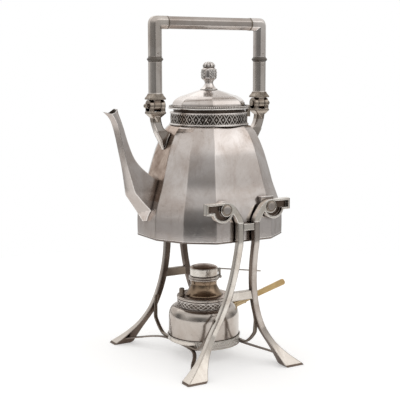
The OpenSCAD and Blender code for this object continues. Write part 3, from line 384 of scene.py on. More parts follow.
# Dark tarnish on the collar and milled edge, also used as painted shade inside the spout and behind the
# lamp's lattice.
tarnish_and_shade = metal("tarnish_and_shade", (0.13, 0.11, 0.095), (0.05, 0.04, 0.032), rough=0.42, amount=0.7, seed=21.0,
                  recess_dirt_and_shade=0.5)
plain = metal("plain_metal", (0.46, 0.42, 0.38), (0.22, 0.18, 0.15), rough=0.36, amount=0.6, seed=25.0,
              recess_dirt_and_shade=0.7, edge=0.4)
bone = metal("bone", (0.17, 0.145, 0.12), (0.06, 0.045, 0.035), rough=0.24, amount=0.7, seed=27.0,
             metallic=0.0, edge=0.3, recess_dirt_and_shade=0.8)
wood = metal("handle_wood", (0.78, 0.55, 0.24), (0.50, 0.29, 0.10), rough=0.42, amount=0.6, seed=31.0,
             metallic=0.0, scale=60)
gilt = metal("gilt", (0.50, 0.38, 0.22), (0.22, 0.15, 0.08), rough=0.34, amount=0.7, seed=33.0, edge=0.4,
             recess_dirt_and_shade=0.5)
cotton = metal("cotton", (0.62, 0.56, 0.46), (0.20, 0.17, 0.14), rough=0.9, amount=0.8, metallic=0.0,
               scale=90)

# faceted forms


def facet_ring(radius, z, angles, cut=0.9, sides=3):
    """One level of a faceted form: corners at these angles from -Y, with each corner slightly rounded."""
    pts = [(radius * sin(radians(a)), -radius * cos(radians(a))) for a in angles]
    out = []
    n = len(pts)
    for k in range(n):
        p = Vector(pts[k])
        a, b = Vector(pts[k - 1]), Vector(pts[(k + 1) % n])
        da, db = (a - p).normalized(), (b - p).normalized()
        c = min(cut, (a - p).length * 0.3, (b - p).length * 0.3)
        for i in range(sides):
            t = i / (sides - 1)
            q = (p + da * c) * (1 - t) ** 2 + p * 2 * t * (1 - t) + (p + db * c) * t ** 2
            out.append((q.x, q.y, z))
    return out


def circle_like(ring, r, z):
    """A circle with one point for each point of a ring, at the same direction."""
    out = []
    for x, y, _ in ring:
        d = hypot(x, y) or 1
        out.append((x / d * r, y / d * r, z))
    return out


bz = BASE_Z + BASE_T
bh = BODY_H - BASE_T
bd = BODY_R - SHOULDER_R
body_pts = [(BODY_R, bz), (BODY_R + 0.2, bz + bh * 0.09)] + [(BODY_R - bd * a, bz + bh * h) for a, h in (
    (0.005, 0.19), (0.07, 0.28), (0.18, 0.37), (0.31, 0.47), (0.41, 0.57), (0.515, 0.67), (0.63, 0.77),
    (0.77, 0.865), (0.91, 0.94), (1, 0.97))]
body_curve = spline(body_pts, 5)


def body_r(z):
    return float(np.interp(z, [p[1] for p in body_curve], [p[0] for p in body_curve]))


def make_body():
    top = spline([(SHOULDER_R, bz + bh * 0.97), (SHOULDER_R - 1.2, TOP_Z - 2.2),
                  (SHOULDER_R - 2.8, TOP_Z - 0.8), (SHOULDER_R - 4.6, TOP_Z)], 3)[1:]
    prof = body_curve + top
    rings = [facet_ring(r, z, BODY_ANGLES) for r, z in prof]
    rings.append(circle_like(rings[-1], NECK_R - 1.5, TOP_Z))
    rings.append(circle_like(rings[-1], NECK_R - 1.5, TOP_Z - WALL))
    inner = [(r - WALL * 1.1, min(z, TOP_Z - WALL)) for r, z in prof if r > NECK_R + 3]
    rings += [facet_ring(r, z, BODY_ANGLES) for r, z in reversed(inner)]
    b = Build()
    b.rings(rings, loop=True)
    ob = b.done("kettle_body_panels", "kettle", silver, ["kettle_body"], angle=55)
    paint(ob, silver_copper, lambda c, n: (abs(n.x) > 0.8 and abs(n.y) < 0.2 and c.z > 182) or (
        c.z > TOP_Z - 7 and abs(c.y) < abs(c.x) * 0.47 and hypot(c.x, c.y) > NECK_R - 1))


def make_base():
    b = Build()
    prof = [(BODY_R - 1.4, BASE_Z), (BODY_R - 0.6, BASE_Z + 0.1), (BODY_R + 0.1, BASE_Z + 0.6),
            (BODY_R + 0.25, BASE_Z + 1.0), (BODY_R + 0.05, bz - 0.15), (BODY_R - 0.3, bz)]
    b.rings([facet_ring(r, z, BODY_ANGLES) for r, z in prof])
    # The base plate takes the near-black copy: a painted dark line of shade under the body.
    b.done("kettle_base_plate", "kettle", silver_in_shade, ["kettle_base"], angle=55)


def make_neck():
    b = Build()
    b.lathe([(NECK_R - 1.5, TOP_Z), (NECK_R + 1.2, TOP_Z), (NECK_R + 1.2, TOP_Z + 1.0),
             (NECK_R + 0.2, TOP_Z + 1.3), (NECK_R, TOP_Z + 1.8), (NECK_R, NECK_TOP - 0.3),
             (NECK_R - 0.3, NECK_TOP), (NECK_R - 1.2, NECK_TOP), (NECK_R - 1.5, NECK_TOP - 0.3)],
            120, loop=True)
    b.done("neck_collar_dark", "kettle", tarnish_and_shade, ["neck_collar"], slot="tarnished_collar")


def wrap(b, quad, r0, r1):
    """A flat outline in (arc length, height) laid round the gallery as a solid strip of the band."""
    n = len(quad)
    v = []
    for r in (r0, r1):
        for u, z in quad:
            a = u / GAL_R
            v.append((r * cos(a), r * sin(a), z))
    f = [list(range(n))[::-1], [n + k for k in range(n)]]
    for k in range(n):
        k2 = (k + 1) % n
        f.append([k, k2, n + k2, n + k])
    b.add(v, f)


def make_gallery():
    b = Build()
    pitch = 2 * pi * GAL_R / GAL_N
    z0, z1 = TOP_Z + 1.6, TOP_Z + GAL_H - 0.8
    zm = (z0 + z1) / 2
    w = 0.55
    r0, r1 = GAL_R - 1.2, GAL_R
    h = (z1 - z0) / 2
    steps = 4
    for k in range(GAL_N):
        u = k * pitch
        for s in (-1, 1):
            for i in range(steps):
                t0, t1 = i / steps, (i + 1) / steps
                ua, ub = u + s * pitch / 2 * t0, u + s * pitch / 2 * t1
                for zs in (-1, 1):
                    za, zb = zm + zs * h * (1 - t0), zm + zs * h * (1 - t1)
                    d = Vector((ub - ua, zb - za)).normalized()
                    nx, nz = -d.y * w, d.x * w
                    q = [(ua + nx, za + nz), (ub + nx, zb + nz), (ub - nx, zb - nz), (ua - nx, za - nz)]
                    wrap(b, q, r0, r1)
        dm = pitch * 0.16
        wrap(b, [(u, zm - dm * 1.4), (u + dm, zm), (u, zm + dm * 1.4), (u - dm, zm)], r0, r1 + 0.15)
        um = u + pitch / 2
        wrap(b, [(um - pitch * 0.22, z0), (um + pitch * 0.22, z0), (um, z0 + h * 0.42)], r0, r1 - 0.1)
        wrap(b, [(um, z1 - h * 0.42), (um + pitch * 0.22, z1), (um - pitch * 0.22, z1)], r0, r1 - 0.1)
    b.lathe([(r0, TOP_Z), (GAL_R, TOP_Z), (GAL_R, z0 + 0.3), (r0, z0 + 0.3)], 144, loop=True)
    b.lathe([(r0, z1 - 0.3), (GAL_R, z1 - 0.3), (GAL_R, TOP_Z + GAL_H - 0.6), (r0, TOP_Z + GAL_H - 0.6)], 144,
            loop=True)
    b.done("gallery_lattice", "kettle", silver_open, ["gallery_band"], weighted=False)
    c = Build()
    c.lathe([(GAL_R, TOP_Z), (GAL_R, TOP_Z + 2.4)] + arc(GAL_R + 0.2, TOP_Z + 1.2, 1.2, 90, -90, 10), 144,
            loop=True)
    g = TOP_Z + GAL_H
    c.lathe([(GAL_R - 2.6, g - 0.6), (GAL_R - 2.6, g)] + arc(GAL_R - 0.2, g - 0.3, 1.1, 74, -74, 10)
            + [(GAL_R, g - 1.0), (GAL_R, g - 0.6)], 144, loop=True)
    c.done("gallery_beads", "kettle", silver_lid, ["gallery_rims"], angle=50)


spout_keel = [(-131, 280.5), (-127.6, 278), (-122.7, 273), (-118.9, 265), (-115.6, 253), (-112.6, 239),
              (-108.2, 218), (-104.4, 191)]
spout_keel_low = [(-104.2, 189.9), (-98.6, 182), (-91.5, 171.6), (-83.6, 159)]
spout_edge = [(-127, 280.5), (-122.6, 277.3), (-118.6, 272), (-115.0, 264), (-111.6, 252), (-108.5, 238),
              (-103.6, 217), (-96.9, 193.4)]
spout_edge_low = [(-96.4, 192.2), (-85.2, 178.8), (-76.3, 169.6), (-66, 159)]
spout_back = [(-113.4, 280.5), (-111.8, 275), (-107.6, 260), (-103.2, 246), (-97.6, 232), (-91.6, 223),
              (-82.2, 214), (-70, 206), (-46, 196)]


def make_spout():
    table = {}
    for key, lines in (("keel", (spout_keel, spout_keel_low)), ("edge", (spout_edge, spout_edge_low)),
                       ("back", (spout_back,))):
        pts = sorted((z, x) for line in lines for x, z in spline(line, 6))
        table[key] = ([q[0] for q in pts], [q[1] for q in pts])
    wz, ww = [155, 170, 179, 192, 215, 239, 265, 291], [11, 9.8, 8.8, 7.6, 7.1, 6.6, 6.3, 6.4]

    lip = sorted([(-112.5, 281.6), (-113.6, 282.3), (-114.6, 282.4), (-115.8, 281.6), (-117.2, 280.0),
                  (-118.8, 278.6), (-120.6, 277.8), (-122.6, 277.7), (-126.6, 278.8), (-131, 279.9)])

    def point(z, wall, t, k, c):
        """A point of one wall at this height: k runs 0..1 along the wall, c is the corner round."""
        xk = float(np.interp(z, *table["keel"])) + 1.3 * t
        x0 = float(np.interp(z, *table["edge"])) + t
        ap = body_r(z) * cos(radians(15))
        x1 = min(float(np.interp(z, *table["back"])), -ap + 1.0) - t
        if z < table["back"][0][0]:
            x1 = -ap + 1.0
        w = float(np.interp(z, wz, ww)) - t
        if x0 > x1 - 2:
            w = max(0.8, w * (x1 - 2 - xk) / (x0 - xk))
            x0 = x1 - 2
        c = min(c, (x1 - x0) * 0.35, w * 0.4)
        cb = max(c, min(0.72 * w, (x1 - x0) * 0.5) * limit((z - 255) / 22))
        if wall == 2:
            f = 2 * k - 1
            return (x0 + (xk - x0) * (1 - abs(f)), -f * (w - c), z)
        if wall == 0:
            return (x1, (2 * k - 1) * (w - cb), z)
        if wall in (1, 3):
            y = w if wall == 1 else -w
            a, e = (x1 - cb, x0 + c) if wall == 1 else (x0 + c, x1 - cb)
            return (a + (e - a) * k, y, z)
        q = wall - 10
        c = cb if q in (0, 3) else c
        cx, cy, a0 = ((x1 - c, w - c, 0), (x0 + c, w - c, 90), (x0 + c, -w + c, 180),
                      (x1 - c, -w + c, 270))[q]
        return (cx + c * cos(radians(a0 + 90 * k)), cy + c * sin(radians(a0 + 90 * k)), z)

    cols = []
    for wall, corner, n in ((0, 10, 8), (1, 11, 14), (2, 12, 6), (3, 13, 14)):
        cols += [(wall, i / n) for i in range(n + 1)]
        cols += [(corner, t) for t in ((0.2, 0.4, 0.6, 0.8) if corner in (10, 13) else (0.33, 0.67))]

    def top_of(wall, k, t):
        z = 279.0
        for _ in range(12):
            x, y, _z = point(z, wall, t, k, 1.1)
            cut = float(np.interp(x, [p[0] for p in lip], [p[1] for p in lip]))
            if x > -117:
                cut -= 0.012 * y * y
            z = 0.5 * z + 0.5 * min(cut, 282.5)
        return z

    def ring(f, t, c, z0):
        out = []
        for (wall, k), zt in zip(cols, tops):
            z = z0 + (zt - z0) * f
            out.append(point(z, wall, t, k, c))
        return out
    tops = [top_of(w, k, 0) for w, k in cols]
    rings = [ring(f, 0, 0.7, 160.0) for f in list(np.linspace(0, 0.86, 60)) + list(np.linspace(0.87, 1, 14))]
    tops = [z - 0.15 for z in tops]
    rings += [ring(1, 0.35, 0.9, 232)]
    rings += [ring(f, 0.55 + 0.65 * min(1, (1 - f) * 10), 0.6, 232) for f in np.linspace(0.995, 0, 30)]
    b = Build()
    b.rings(rings)
    ob = b.done("spout_shell", "kettle", silver, ["spout"], angle=26)
    # Painted shade on the faces of the spout's front strip.
    paint(ob, silver_front_shaded, lambda c, n: n.x < -0.5 and n.z < 0.2 and abs(n.y) < 0.8)
    # Painted shade on the inner faces of the spout.
    paint(ob, tarnish_and_shade, lambda c, n: c.y * n.y < -0.5)


def make_studs():
    b = Build()
    for s in (1, -1):
        m = at(-PIN_X, 0, PIN_Z, 90 * s)
        ly = BR_Y - 0.3
        ap = body_r(PIN_Z) * cos(radians(25))
        b.lathe([(0, ap - 4), (8.4, ap - 4), (8.4, ly - 0.4), (8.0, ly), (PIN_R, ly),
                 (PIN_R, FRAME_Y + LEG_BAR / 2), (0, FRAME_Y + LEG_BAR / 2)], 48, m)
    b.done("pivot_stud_pair", "kettle", silver, ["pivot_studs"])


def make_pin_caps():
    ly = FRAME_Y + LEG_BAR / 2
    for name, node, x, body in (("stud_cap_pair", "stud_caps", -PIN_X, "kettle"),
                                ("rest_pin_pair", "rest_pins", PIN_X, "stand")):
        b = Build()
        fixed = body == "stand"
        r = PIN_R if fixed else PIN_R + 0.8
        y0 = FRAME_Y - LEG_BAR / 2 if fixed else ly + 0.1
        for s in (1, -1):
            m = at(x, 0, PIN_Z, 90 * s)
            b.lathe([(0, y0), (r, y0), (r, ly), (PIN_R + 0.9, ly + 0.1), (PIN_R + 0.9, ly + 0.7),
                     (PIN_R + 0.5, ly + 1.1), (PIN_R - 0.3, ly + 1.1), (PIN_R - 0.8, ly + 0.8),
                     (1.0, ly + 0.8), (0, ly + 0.7)], 48, m)
            if fixed:
                ap = PANEL_Y + 0.3
                b.lathe([(0, ap), (3, ap), (3, y0 + 0.1), (0, y0 + 0.1)], 32, m)
        ob = b.done(name, body, silver_joint, [node])
        # Painted shade on the flat faces of the caps.
        paint(ob, silver_front_shaded, lambda c, n: abs(n.y) > 0.9 and hypot(c.x - x, c.z - PIN_Z) < PIN_R - 0.9)


def octagon(f, cut=1.3):
    """Eight-sided section in a plane, flats facing the axes, with small worn corners."""
    r = f / 2 / cos(radians(22.5))
    pts = [(r * cos(radians(22.5 + 45 * k)), r * sin(radians(22.5 + 45 * k))) for k in range(8)]
    out = []
    for k in range(8):
        p, a, q = Vector(pts[k]), Vector(pts[k - 1]), Vector(pts[(k + 1) % 8])
        da, dq = (a - p).normalized() * cut * 0.5, (q - p).normalized() * cut * 0.5
        for t in (0, 0.5, 1):
            v = (p + da) * (1 - t) ** 2 + p * 2 * t * (1 - t) + (p + dq) * t ** 2
            out.append((v.x, v.y))
    return out


def cut_rect(x, hx, hy, z, c):
    """A rectangle round (x, 0) with cut corners."""
    return [(x + hx - c, -hy, z), (x + hx, -hy + c, z), (x + hx, hy - c, z), (x + hx - c, hy, z),
            (x - hx + c, hy, z), (x - hx, hy - c, z), (x - hx, -hy + c, z), (x - hx + c, -hy, z)]


def side_matrix(s):
    return Matrix.Identity(4) if s > 0 else Matrix.Scale(-1, 4, (1, 0, 0))


def make_bail():
    bx, hz, kr, hf = BAIL_X, HINGE_Z, KNUCKLE_R, BAIL_F / 2
    z_low = INS_Z + 2.5
    z_mid = BAIL_TOP - hf
    for s, side in ((-1, "spout"), (1, "rear")):
        mv = side_matrix(s)
        b = Build()
        oc = octagon(BAIL_F)
        zl = hz + kr + 3
        b.rings([[(bx + x, y, z) for x, y in oc] for z in (zl, INS_Z - 2.5)], move=mv)
        z = hz + kr + 0.2
        b.rings([cut_rect(bx, 9.3, 7.3, z, 0.8), cut_rect(bx, 9.5, 7.5, z + 0.3, 0.9),
                 cut_rect(bx, 9.5, 7.5, z + 1.7, 0.9), cut_rect(bx, 9.2, 7.4, z + 2.1, 1.2),
                 cut_rect(bx, 7.9, 7.15, z + 4.4, 2.4), cut_rect(bx, 6.95, 6.95, z + 6.6, 2.6)], move=mv)
        b.box((bx - 3.8, -5, hz), (bx + 3.8, 5, hz + kr + 1), move=mv)
        m = mv @ at(bx - 3.8, 0, hz, 90, "Y")
        b.lathe([(2.3, 0), (kr - 0.1, 0), (kr - 0.1, 7.6), (2.3, 7.6)], 48, m, True)
        ob = b.done("bail_foot_" + side + "_post", "bail", silver_bail, ["bail_foot_" + side], bevel=0.5)
        paint(ob, silver_joint, lambda c, n: c.z < hz + kr + 6.4)
        e = Build()
        n = 10
        shared = 1.6
        ring = [[(bx + x, y, z) for x, y in oc] for z in (z_low, z_mid - hf - 2)]
        for i in range(n + 1):
            a = radians(90 * i / n)
            row = []
            for x, y in oc:
                r = max(0.35, x + shared)
                row.append((bx + x - r + r * cos(a), y, z_mid + x - r + r * sin(a)))
            ring.append(row)
        ring.append([(GRIP_HALF + 0.8, y, z_mid + x) for x, y in oc])
        e.rings(ring, move=mv)
        # The rear elbow takes the lighter lid silver: painted light on the side toward the key lamp.
        e.done("bail_elbow_" + side + "_bar", "bail", silver_bail if s < 0 else silver_lid,
               ["bail_elbow_" + side], angle=40)
    g = Build()
    og = octagon(BAIL_F - 0.6)
    g.rings([[(x0, y, z_mid + x) for x, y in og] for x0 in (-GRIP_HALF + 0.8, GRIP_HALF - 0.8)])
    # The grip takes the darker copy: painted shade on its front.
    g.done("bail_grip_bar", "bail", silver_front_shaded, ["bail_grip"], angle=40)
    j = Build()
    for s in (-1, 1):
        oj = octagon(BAIL_F + 0.2)
        xs = [s * GRIP_HALF + d for d in (-0.8, -0.5, 0.5, 0.8)]
        k = [0.95, 0.985, 0.985, 0.95]
        j.rings([[(x0, y * f, z_mid + x * f) for x, y in oj] for x0, f in zip(xs, k)])
    j.done("bail_joint_ring_pair", "bail", silver_dark, ["bail_joint_rings"], angle=40)
    i = Build()
    for s in (-1, 1):
        m = at(s * bx, 0, INS_Z)
        i.lathe([(0, -2.5), (hf + 0.2, -2.5), (hf + 1.8, -0.5), (hf + 1.9, 0),
                 (hf + 1.8, 0.5), (hf + 0.2, 2.5), (0, 2.5)], 64, m)
    i.done("bail_insulating_discs", "bail", bone, ["bail_insulators"], slot="insulator")
    r = Build()
    for s in (-1, 1):
        for dz in (-6.5, 6.5):
            m = at(s * bx, 0, INS_Z + dz, 90)
            h = hf + 0.5
            r.lathe([(0, -h), (0.7, -h + 0.1), (1.1, -h + 0.5), (1.1, h - 0.5), (0.7, h - 0.1), (0, h)],
                    20, m)
    r.done("bail_rivet_set", "bail", plain, ["bail_rivets"])


def make_brackets():
    bx, hz, kr = BAIL_X, HINGE_Z, KNUCKLE_R
    fz = hz - kr - 2.2
    outer = spline([(bx + 5.6, fz), (bx + 4.6, hz - 17), (bx + 1.4, hz - 27), (bx - 3.6, hz - 37),
                    (bx - 7.4, hz - 46), (bx - 13, hz - 57)], 10)
    inner = spline([(bx - 34, hz - 36), (bx - 17, hz - 29.5), (bx - 8.8, hz - 25),
                    (bx - 5.4, hz - 17), (bx - 4.6, fz)], 10)
    inner_z = sorted((p[1], p[0]) for p in inner)
    for s, side in ((-1, "spout"), (1, "rear")):
        mv = side_matrix(s)
        b = Build()
        rings = []
        for x, z in outer:
            ap = body_r(min(z, TOP_Z - 4)) * cos(radians(15)) - 1.0
            xi = float(np.interp(z, [p[0] for p in inner_z], [p[1] for p in inner_z]))
            if z < inner_z[0][0]:
                xi = ap
            xi = max(xi, ap)
            if x - xi < 0.3:
                break
            c = min(1.5, (x - xi) * 0.3)
            w = 5.0 - 3.6 * limit((250 - z) / 15) ** 1.5
            rings.append([(x - c, -w, z), (x, -w + c, z), (x, w - c, z), (x - c, w, z),
                          (xi + c, w, z), (xi, w - c, z), (xi, -w + c, z), (xi + c, -w, z)])
        b.rings(rings, move=mv)
        b.rings([cut_rect(bx + 0.3, 5.3, 5.0, fz - 4.2, 1.2), cut_rect(bx, 9.1, 7.2, fz - 0.2, 1.0),
                 cut_rect(bx, 9.5, 7.5, fz + 0.2, 0.9), cut_rect(bx, 9.5, 7.5, fz + 1.7, 0.9),
                 cut_rect(bx, 9.2, 7.2, fz + 2, 0.8)], move=mv)
        b.plate([(bx - 3.4, fz - 3), (bx + 0.2, fz - 8.4), (bx + 3.6, fz - 3)], -6, 6, mv)
        for e in (-1, 1):
            x0 = bx + 4.1 if e > 0 else bx - 9.3
            m = mv @ at(x0, 0, hz, 90, "Y")
            b.lathe([(2.2, 0), (kr, 0), (kr, 5.2), (2.2, 5.2)], 48, m, True)
            b.box((x0, -kr + 0.6, hz - kr - 0.4), (x0 + 5.2, kr - 0.6, hz - 2.6),
                  move=mv)
        for y in (-1, 1):
            rib = [(x - 1.0, y * (4.9 - 3.6 * limit((250 - z) / 15) ** 1.5), z) for x, z in outer
                   if 231 < z < hz - 27]
            b.tube(rib, 0.6, 8, mv)
            b.tube([(bx - 15, y * 4.9, hz - 30.6), (bx - 12.6, y * 4.9, hz - 35),
                    (bx - 10.6, y * 4.9, hz - 41), (bx - 9.4, y * 3.6, hz - 46)], 0.6, 8, mv)
        ob = b.done("bail_bracket_" + side + "_neck", "kettle", silver_bail, ["bail_bracket_" + side],
                    bevel=0.35)
        paint(ob, silver_joint, lambda c, n: c.z > fz - 9)
        # Painted shade on the flat sides of the neck below the ribs.
        paint(ob, silver_leg_shaded, lambda c, n: abs(n.y) > 0.97 and c.z < hz - 27)


def make_lid():
    br = LID_R - 2.8

    def dome(points, steps):
        return spline([(r, LID_Z + DOME_H * k) for r, k in points], steps)
    low = dome([(br, 0.12), (br - 0.5, 0.25), (br - 2.6, 0.41), (br - 6, 0.54), (br - 10.4, 0.66)], 3)
    high = dome([(br - 10.9, 0.642), (22, 0.81), (14, 0.94), (10, 1)], 6)
    fine = [(br, LID_Z)] + low + high
    rings = [facet_ring(r, z, LID_ANGLES, 0.8) for r, z in fine]
    rings.append(circle_like(rings[-1], 2.1, FIN_Z))
    rings.append(circle_like(rings[-1], 2.1, FIN_Z - 1.2))
    rings += [facet_ring(max(r - 1.5, 6), z - 1.3, LID_ANGLES, 0.8) for r, z in reversed(fine[1:])]
    rings.append(facet_ring(br - 1.5, LID_Z, LID_ANGLES, 0.8))
    b = Build()
    b.rings(rings, loop=True)
    b.done("lid_dome_shell", "lid", silver_lid, ["lid_dome"], angle=50)
    r = Build()
    r.lathe([(NECK_R - 2.9, NECK_TOP - 5), (NECK_R - 1.9, NECK_TOP - 5), (NECK_R - 1.9, NECK_TOP),
             (LID_R - 0.5, NECK_TOP), (LID_R, NECK_TOP + 0.5), (LID_R, NECK_TOP + 1.2),
             (LID_R - 0.4, NECK_TOP + 1.6), (NECK_R - 2.9, NECK_TOP + 1.6)], 144, loop=True)
    r.done("lid_plate", "lid", silver_lid, ["lid_rim"], angle=40)
    m = Build()
    teeth = 132
    seg = teeth * 4

    def mill(rr, z, a, i):
        k = 0.7 * (0.5 + 0.5 * cos(a * teeth))
        return (rr - k if i in (1, 2, 3) else rr), z
    m.lathe([(LID_R - 2.4, LID_Z), (LID_R - 0.5, LID_Z), (LID_R - 0.35, LID_Z + 1.1),
             (LID_R - 0.9, LID_Z + 1.9), (LID_R - 2.4, LID_Z + 2.1)], seg, loop=True, wobble=mill)
    ob = m.done("lid_milled_edge", "lid", silver_open, ["lid_milled_band"], angle=60, weighted=False)
    paint(ob, tarnish_and_shade, lambda c, n: LID_R - 1.9 < hypot(c.x, c.y) < LID_R - 0.82 and n.z > -0.5)


def make_finial():
    f = FIN_Z
    b = Build()
    b.lathe([(0, f - 3.6), (1.95, f - 3.6), (1.95, f), (9.4, f), (9.8, f + 0.3), (9.8, f + 0.7)]
            + spline([(9, f + 1.3), (6.9, f + 3.0), (5.0, f + 6.2), (4.7, f + 8.4), (6, f + 10.4)], 6)
            + [(0, f + 10.4)], 72)
    b.done("finial_foot", "lid", silver_lid, ["finial_base"], angle=45)
    a = Build()
    side = [(6.4, f + 10.8), (7.9, f + 12.2), (8.5, f + 14.4), (8.6, f + 19.4), (8.1, f + 22.2),
            (6.9, f + 23.7)]
    prof = ([(0, f + 10.4), (6, f + 10.4)] + spline(side, 8)
            + [(6.7, f + 24.1), (6.1, f + 24.5), (6.1, f + 24.9)]
            + spline([(6.9, f + 25.4), (6.8, f + 27.2), (4.6, f + 29.9), (0, f + FIN_H)], 8))

    def relief(r, z, ang, i):
        if f + 11.5 < z < f + 23.4:
            k = sin(pi * (z - f - 11.5) / 11.9)
            return r * (1 - 0.07 * k ** 0.5 * (0.5 + 0.5 * cos(4 * ang)) ** 2), z
        if z > f + 25.1 and i < len(prof) - 1:
            return r * (1 - 0.24 * (0.5 + 0.5 * cos(10 * ang)) ** 4), z
        return r, z
    a.lathe(prof, 160, wobble=relief)
    for q in range(4):
        for row in range(7):
            for col in range(4 - row % 2):
                z = f + 13.2 + row * 1.45
                ang = radians(90 * q + (col - (3 - row % 2) / 2) * 11.5)
                rr = float(np.interp(z, [e[1] for e in side], [e[0] for e in side])) - 0.05
                c = at(rr * cos(ang), rr * sin(ang), z)
                r0 = 0.85
                a.lathe([(0, -r0)] + [(r0 * sin(radians(t)), -r0 * cos(radians(t)))
                                      for t in (36, 72, 108, 144)] + [(0, r0)], 8, c)
    ob = a.done("finial_knob", "lid", silver_lid, ["finial_acorn"], angle=50, weighted=False)

    def ground(c, n):
        if c.z > f + 25.3:
            full = float(np.interp(c.z, [f + 25.4, f + 27.2, f + 29.9, f + FIN_H], [6.9, 6.8, 4.6, 0]))
            return hypot(c.x, c.y) < full * 0.88
        if f + 23.7 < c.z < f + 25.2:
            return True
        turn = (degrees(atan2(c.y, c.x)) + 45) % 90 - 45
        return abs(turn) < 24 and f + 12 < c.z < f + 23.2 and hypot(c.x, c.y) < 8.35 and abs(n.z) < 0.5
    # Painted shade in the grooves and the recessed ground of the knob.
    paint(ob, silver_in_shade, ground)


# the stand

def mid_x(z):
    return -FOOT_LEAN * max(0, 1 - z / BASE_Z)


def spread(z):
    return 10.2 + (FOOT_SPREAD - 10.2) * max(0, 1 - z / 150) ** 2.7


WAIST_Z, WAIST_Y = 45.0, FRAME_Y - 10.5


def leg_y(z):
    if z > WAIST_Z:
        return WAIST_Y + (FRAME_Y - WAIST_Y) * min(1, (z - WAIST_Z) / 95) ** 1.3
    return WAIST_Y + (FRAME_Y - WAIST_Y + FOOT_SPLAY) * ((WAIST_Z - z) / WAIST_Z) ** 1.6


def flare(z):
    return max(0, (30 - z) / 30) ** 2


def leg_wx(z):
    d = spread(z + 1) - spread(z)
    return LEG_BAR * sqrt(1 + d * d) + 16 * flare(z)


def leg_wy(z):
    d = leg_y(z + 1) - leg_y(z)
    return LEG_BAR * sqrt(1 + d * d) + 8 * flare(z)


LEG_TOP = PIN_Z - 15.3


def make_legs():
    zs = [0, 0.6, 1.4, 2.2, 3.2, 4.4] + list(np.linspace(6, 60, 28)) + list(np.linspace(63, LEG_TOP, 30))
    for side, sn in ((-1, "spout"), (1, "rear")):
        for face, fn in ((-1, "near"), (1, "far")):
            b = Build()
            rings = []
            for z in zs:
                zz = max(z, 2.2)
                x, y = mid_x(z) + side * spread(z), face * leg_y(z)
                wx, wy = leg_wx(zz) / 2, leg_wy(zz) / 2
                if z < 2.2:
                    k = 1 - 0.03 * (2.2 - z) / 2.2
                    wx, wy = wx * k, wy * k
                c = min(1.1, wx * 0.3)
                ring = []
                for ex, ey in ((1, -1), (1, 1), (-1, 1), (-1, -1)):
                    corner = [(wx - c, wy), (wx - c * 0.3, wy - c * 0.3), (wx, wy - c)]
                    ring += [(x + ex * u, y + ey * v, z)
                             for u, v in (corner if ex * ey < 0 else corner[::-1])]
                rings.append(ring)
            b.rings(rings)
            # The near spout-side leg takes the lit leg silver, the others the shaded copy: painted shade.
            mat = silver_leg if side < 0 and face < 0 else silver_leg_shaded
            ob = b.done("leg_%s_%s_bar" % (sn, fn), "stand", mat, ["leg_%s_%s" % (sn, fn)], angle=50)
            # Painted shade on the inner faces and the soles of the legs.
            paint(ob, silver_in_shade, lambda c, n: (
                abs(n.x) > 0.6 and n.x * side < 0) or n.y * face < -0.6 or c.z < 2.1)


def make_stretchers():
    sz = RING_Z - 2 - 0.8 - 0.1
    half = spline([(0, 31, sz), (20, 31.3, sz), (36, 34, sz - 0.5), (50, 41, sz - 2.5), (62, 50, sz - 5.3),
                   (leg_y(9) - 7, 58, sz - 8.5), (leg_y(5), 64, sz - 11.5)], 10)
    path = [(-y, u, z) for y, u, z in half[::-1]] + half[1:]
    b = Build()
    for side in (-1, 1):
        rings = []
        for i, (y, u, z) in enumerate(path):
            a, c = path[max(i - 1, 0)], path[min(i + 1, len(path) - 1)]
            d = Vector((side * (c[1] - a[1]), c[0] - a[0], 0)).normalized()
            nx, ny = d.y, -d.x
            p = (mid_x(15) + side * u, y)
            w, t = 2.2, 0.75
            row = []
            for e, h in ((-w, -t * 0.5), (-w + 0.35, -t), (w - 0.35, -t), (w, -t * 0.5), (w, t * 0.5),
                         (w - 0.35, t), (-w + 0.35, t), (-w, t * 0.5)):
                row.append((p[0] + nx * e, p[1] + ny * e, z + h))
            rings.append(row)
        b.rings(rings)
    # The stretchers take the near-black copy: painted shade.
    b.done("foot_stretcher_pair", "stand", silver_in_shade, ["foot_stretchers"], angle=40)


def make_lamp_ring():
    lr, rz = LAMP_R, RING_Z
    b = Build()
    m = at(LAMP_X, 0, 0)
    b.lathe([(lr - 7.4, rz), (lr + 0.5, rz), (lr + 1.2, rz + 0.2), (lr + 1.2, rz + 4.6), (lr + 1.7, rz + 4.8),
             (lr + 1.7, rz + 5.2), (lr + 1.4, rz + 5.4), (lr + 0.5, rz + 5.4), (lr + 0.5, rz + 1.5),
             (lr - 7.4, rz + 1.5)], 120, m, True)
    half = degrees(asin(28.0 / (lr + 1)))
    for turn in (0, 180):
        rings = []
        for i in range(61):
            a = radians(90 + turn - half + 2 * half * i / 60)
            rings.append([((lr + u) * cos(a), (lr + u) * sin(a), rz + h) for u, h in (
                (0.4, -4.4), (1.6, -4.4), (1.7, -4.1), (1.7, -3.6), (1.2, -3.4), (1.2, 0.1), (0.4, 0.1))])
        b.rings(rings, move=m)
        for i in range(24):
            for d in (-1, 1):
                a0 = 90 + turn - half + 2 * half * (i + 0.5) / 24
                p = []
                for j in range(5):
                    a = radians(a0 + d * half / 24 * 2 * (j / 4 - 0.5) * 1.7)
                    p.append(((lr + 1.15) * cos(a), (lr + 1.15) * sin(a), rz - 3.6 + 8.2 * j / 4))
                b.tube(p, 0.4, 6, m)
    b.done("lamp_ring_band", "stand", silver_leg, ["lamp_ring"])


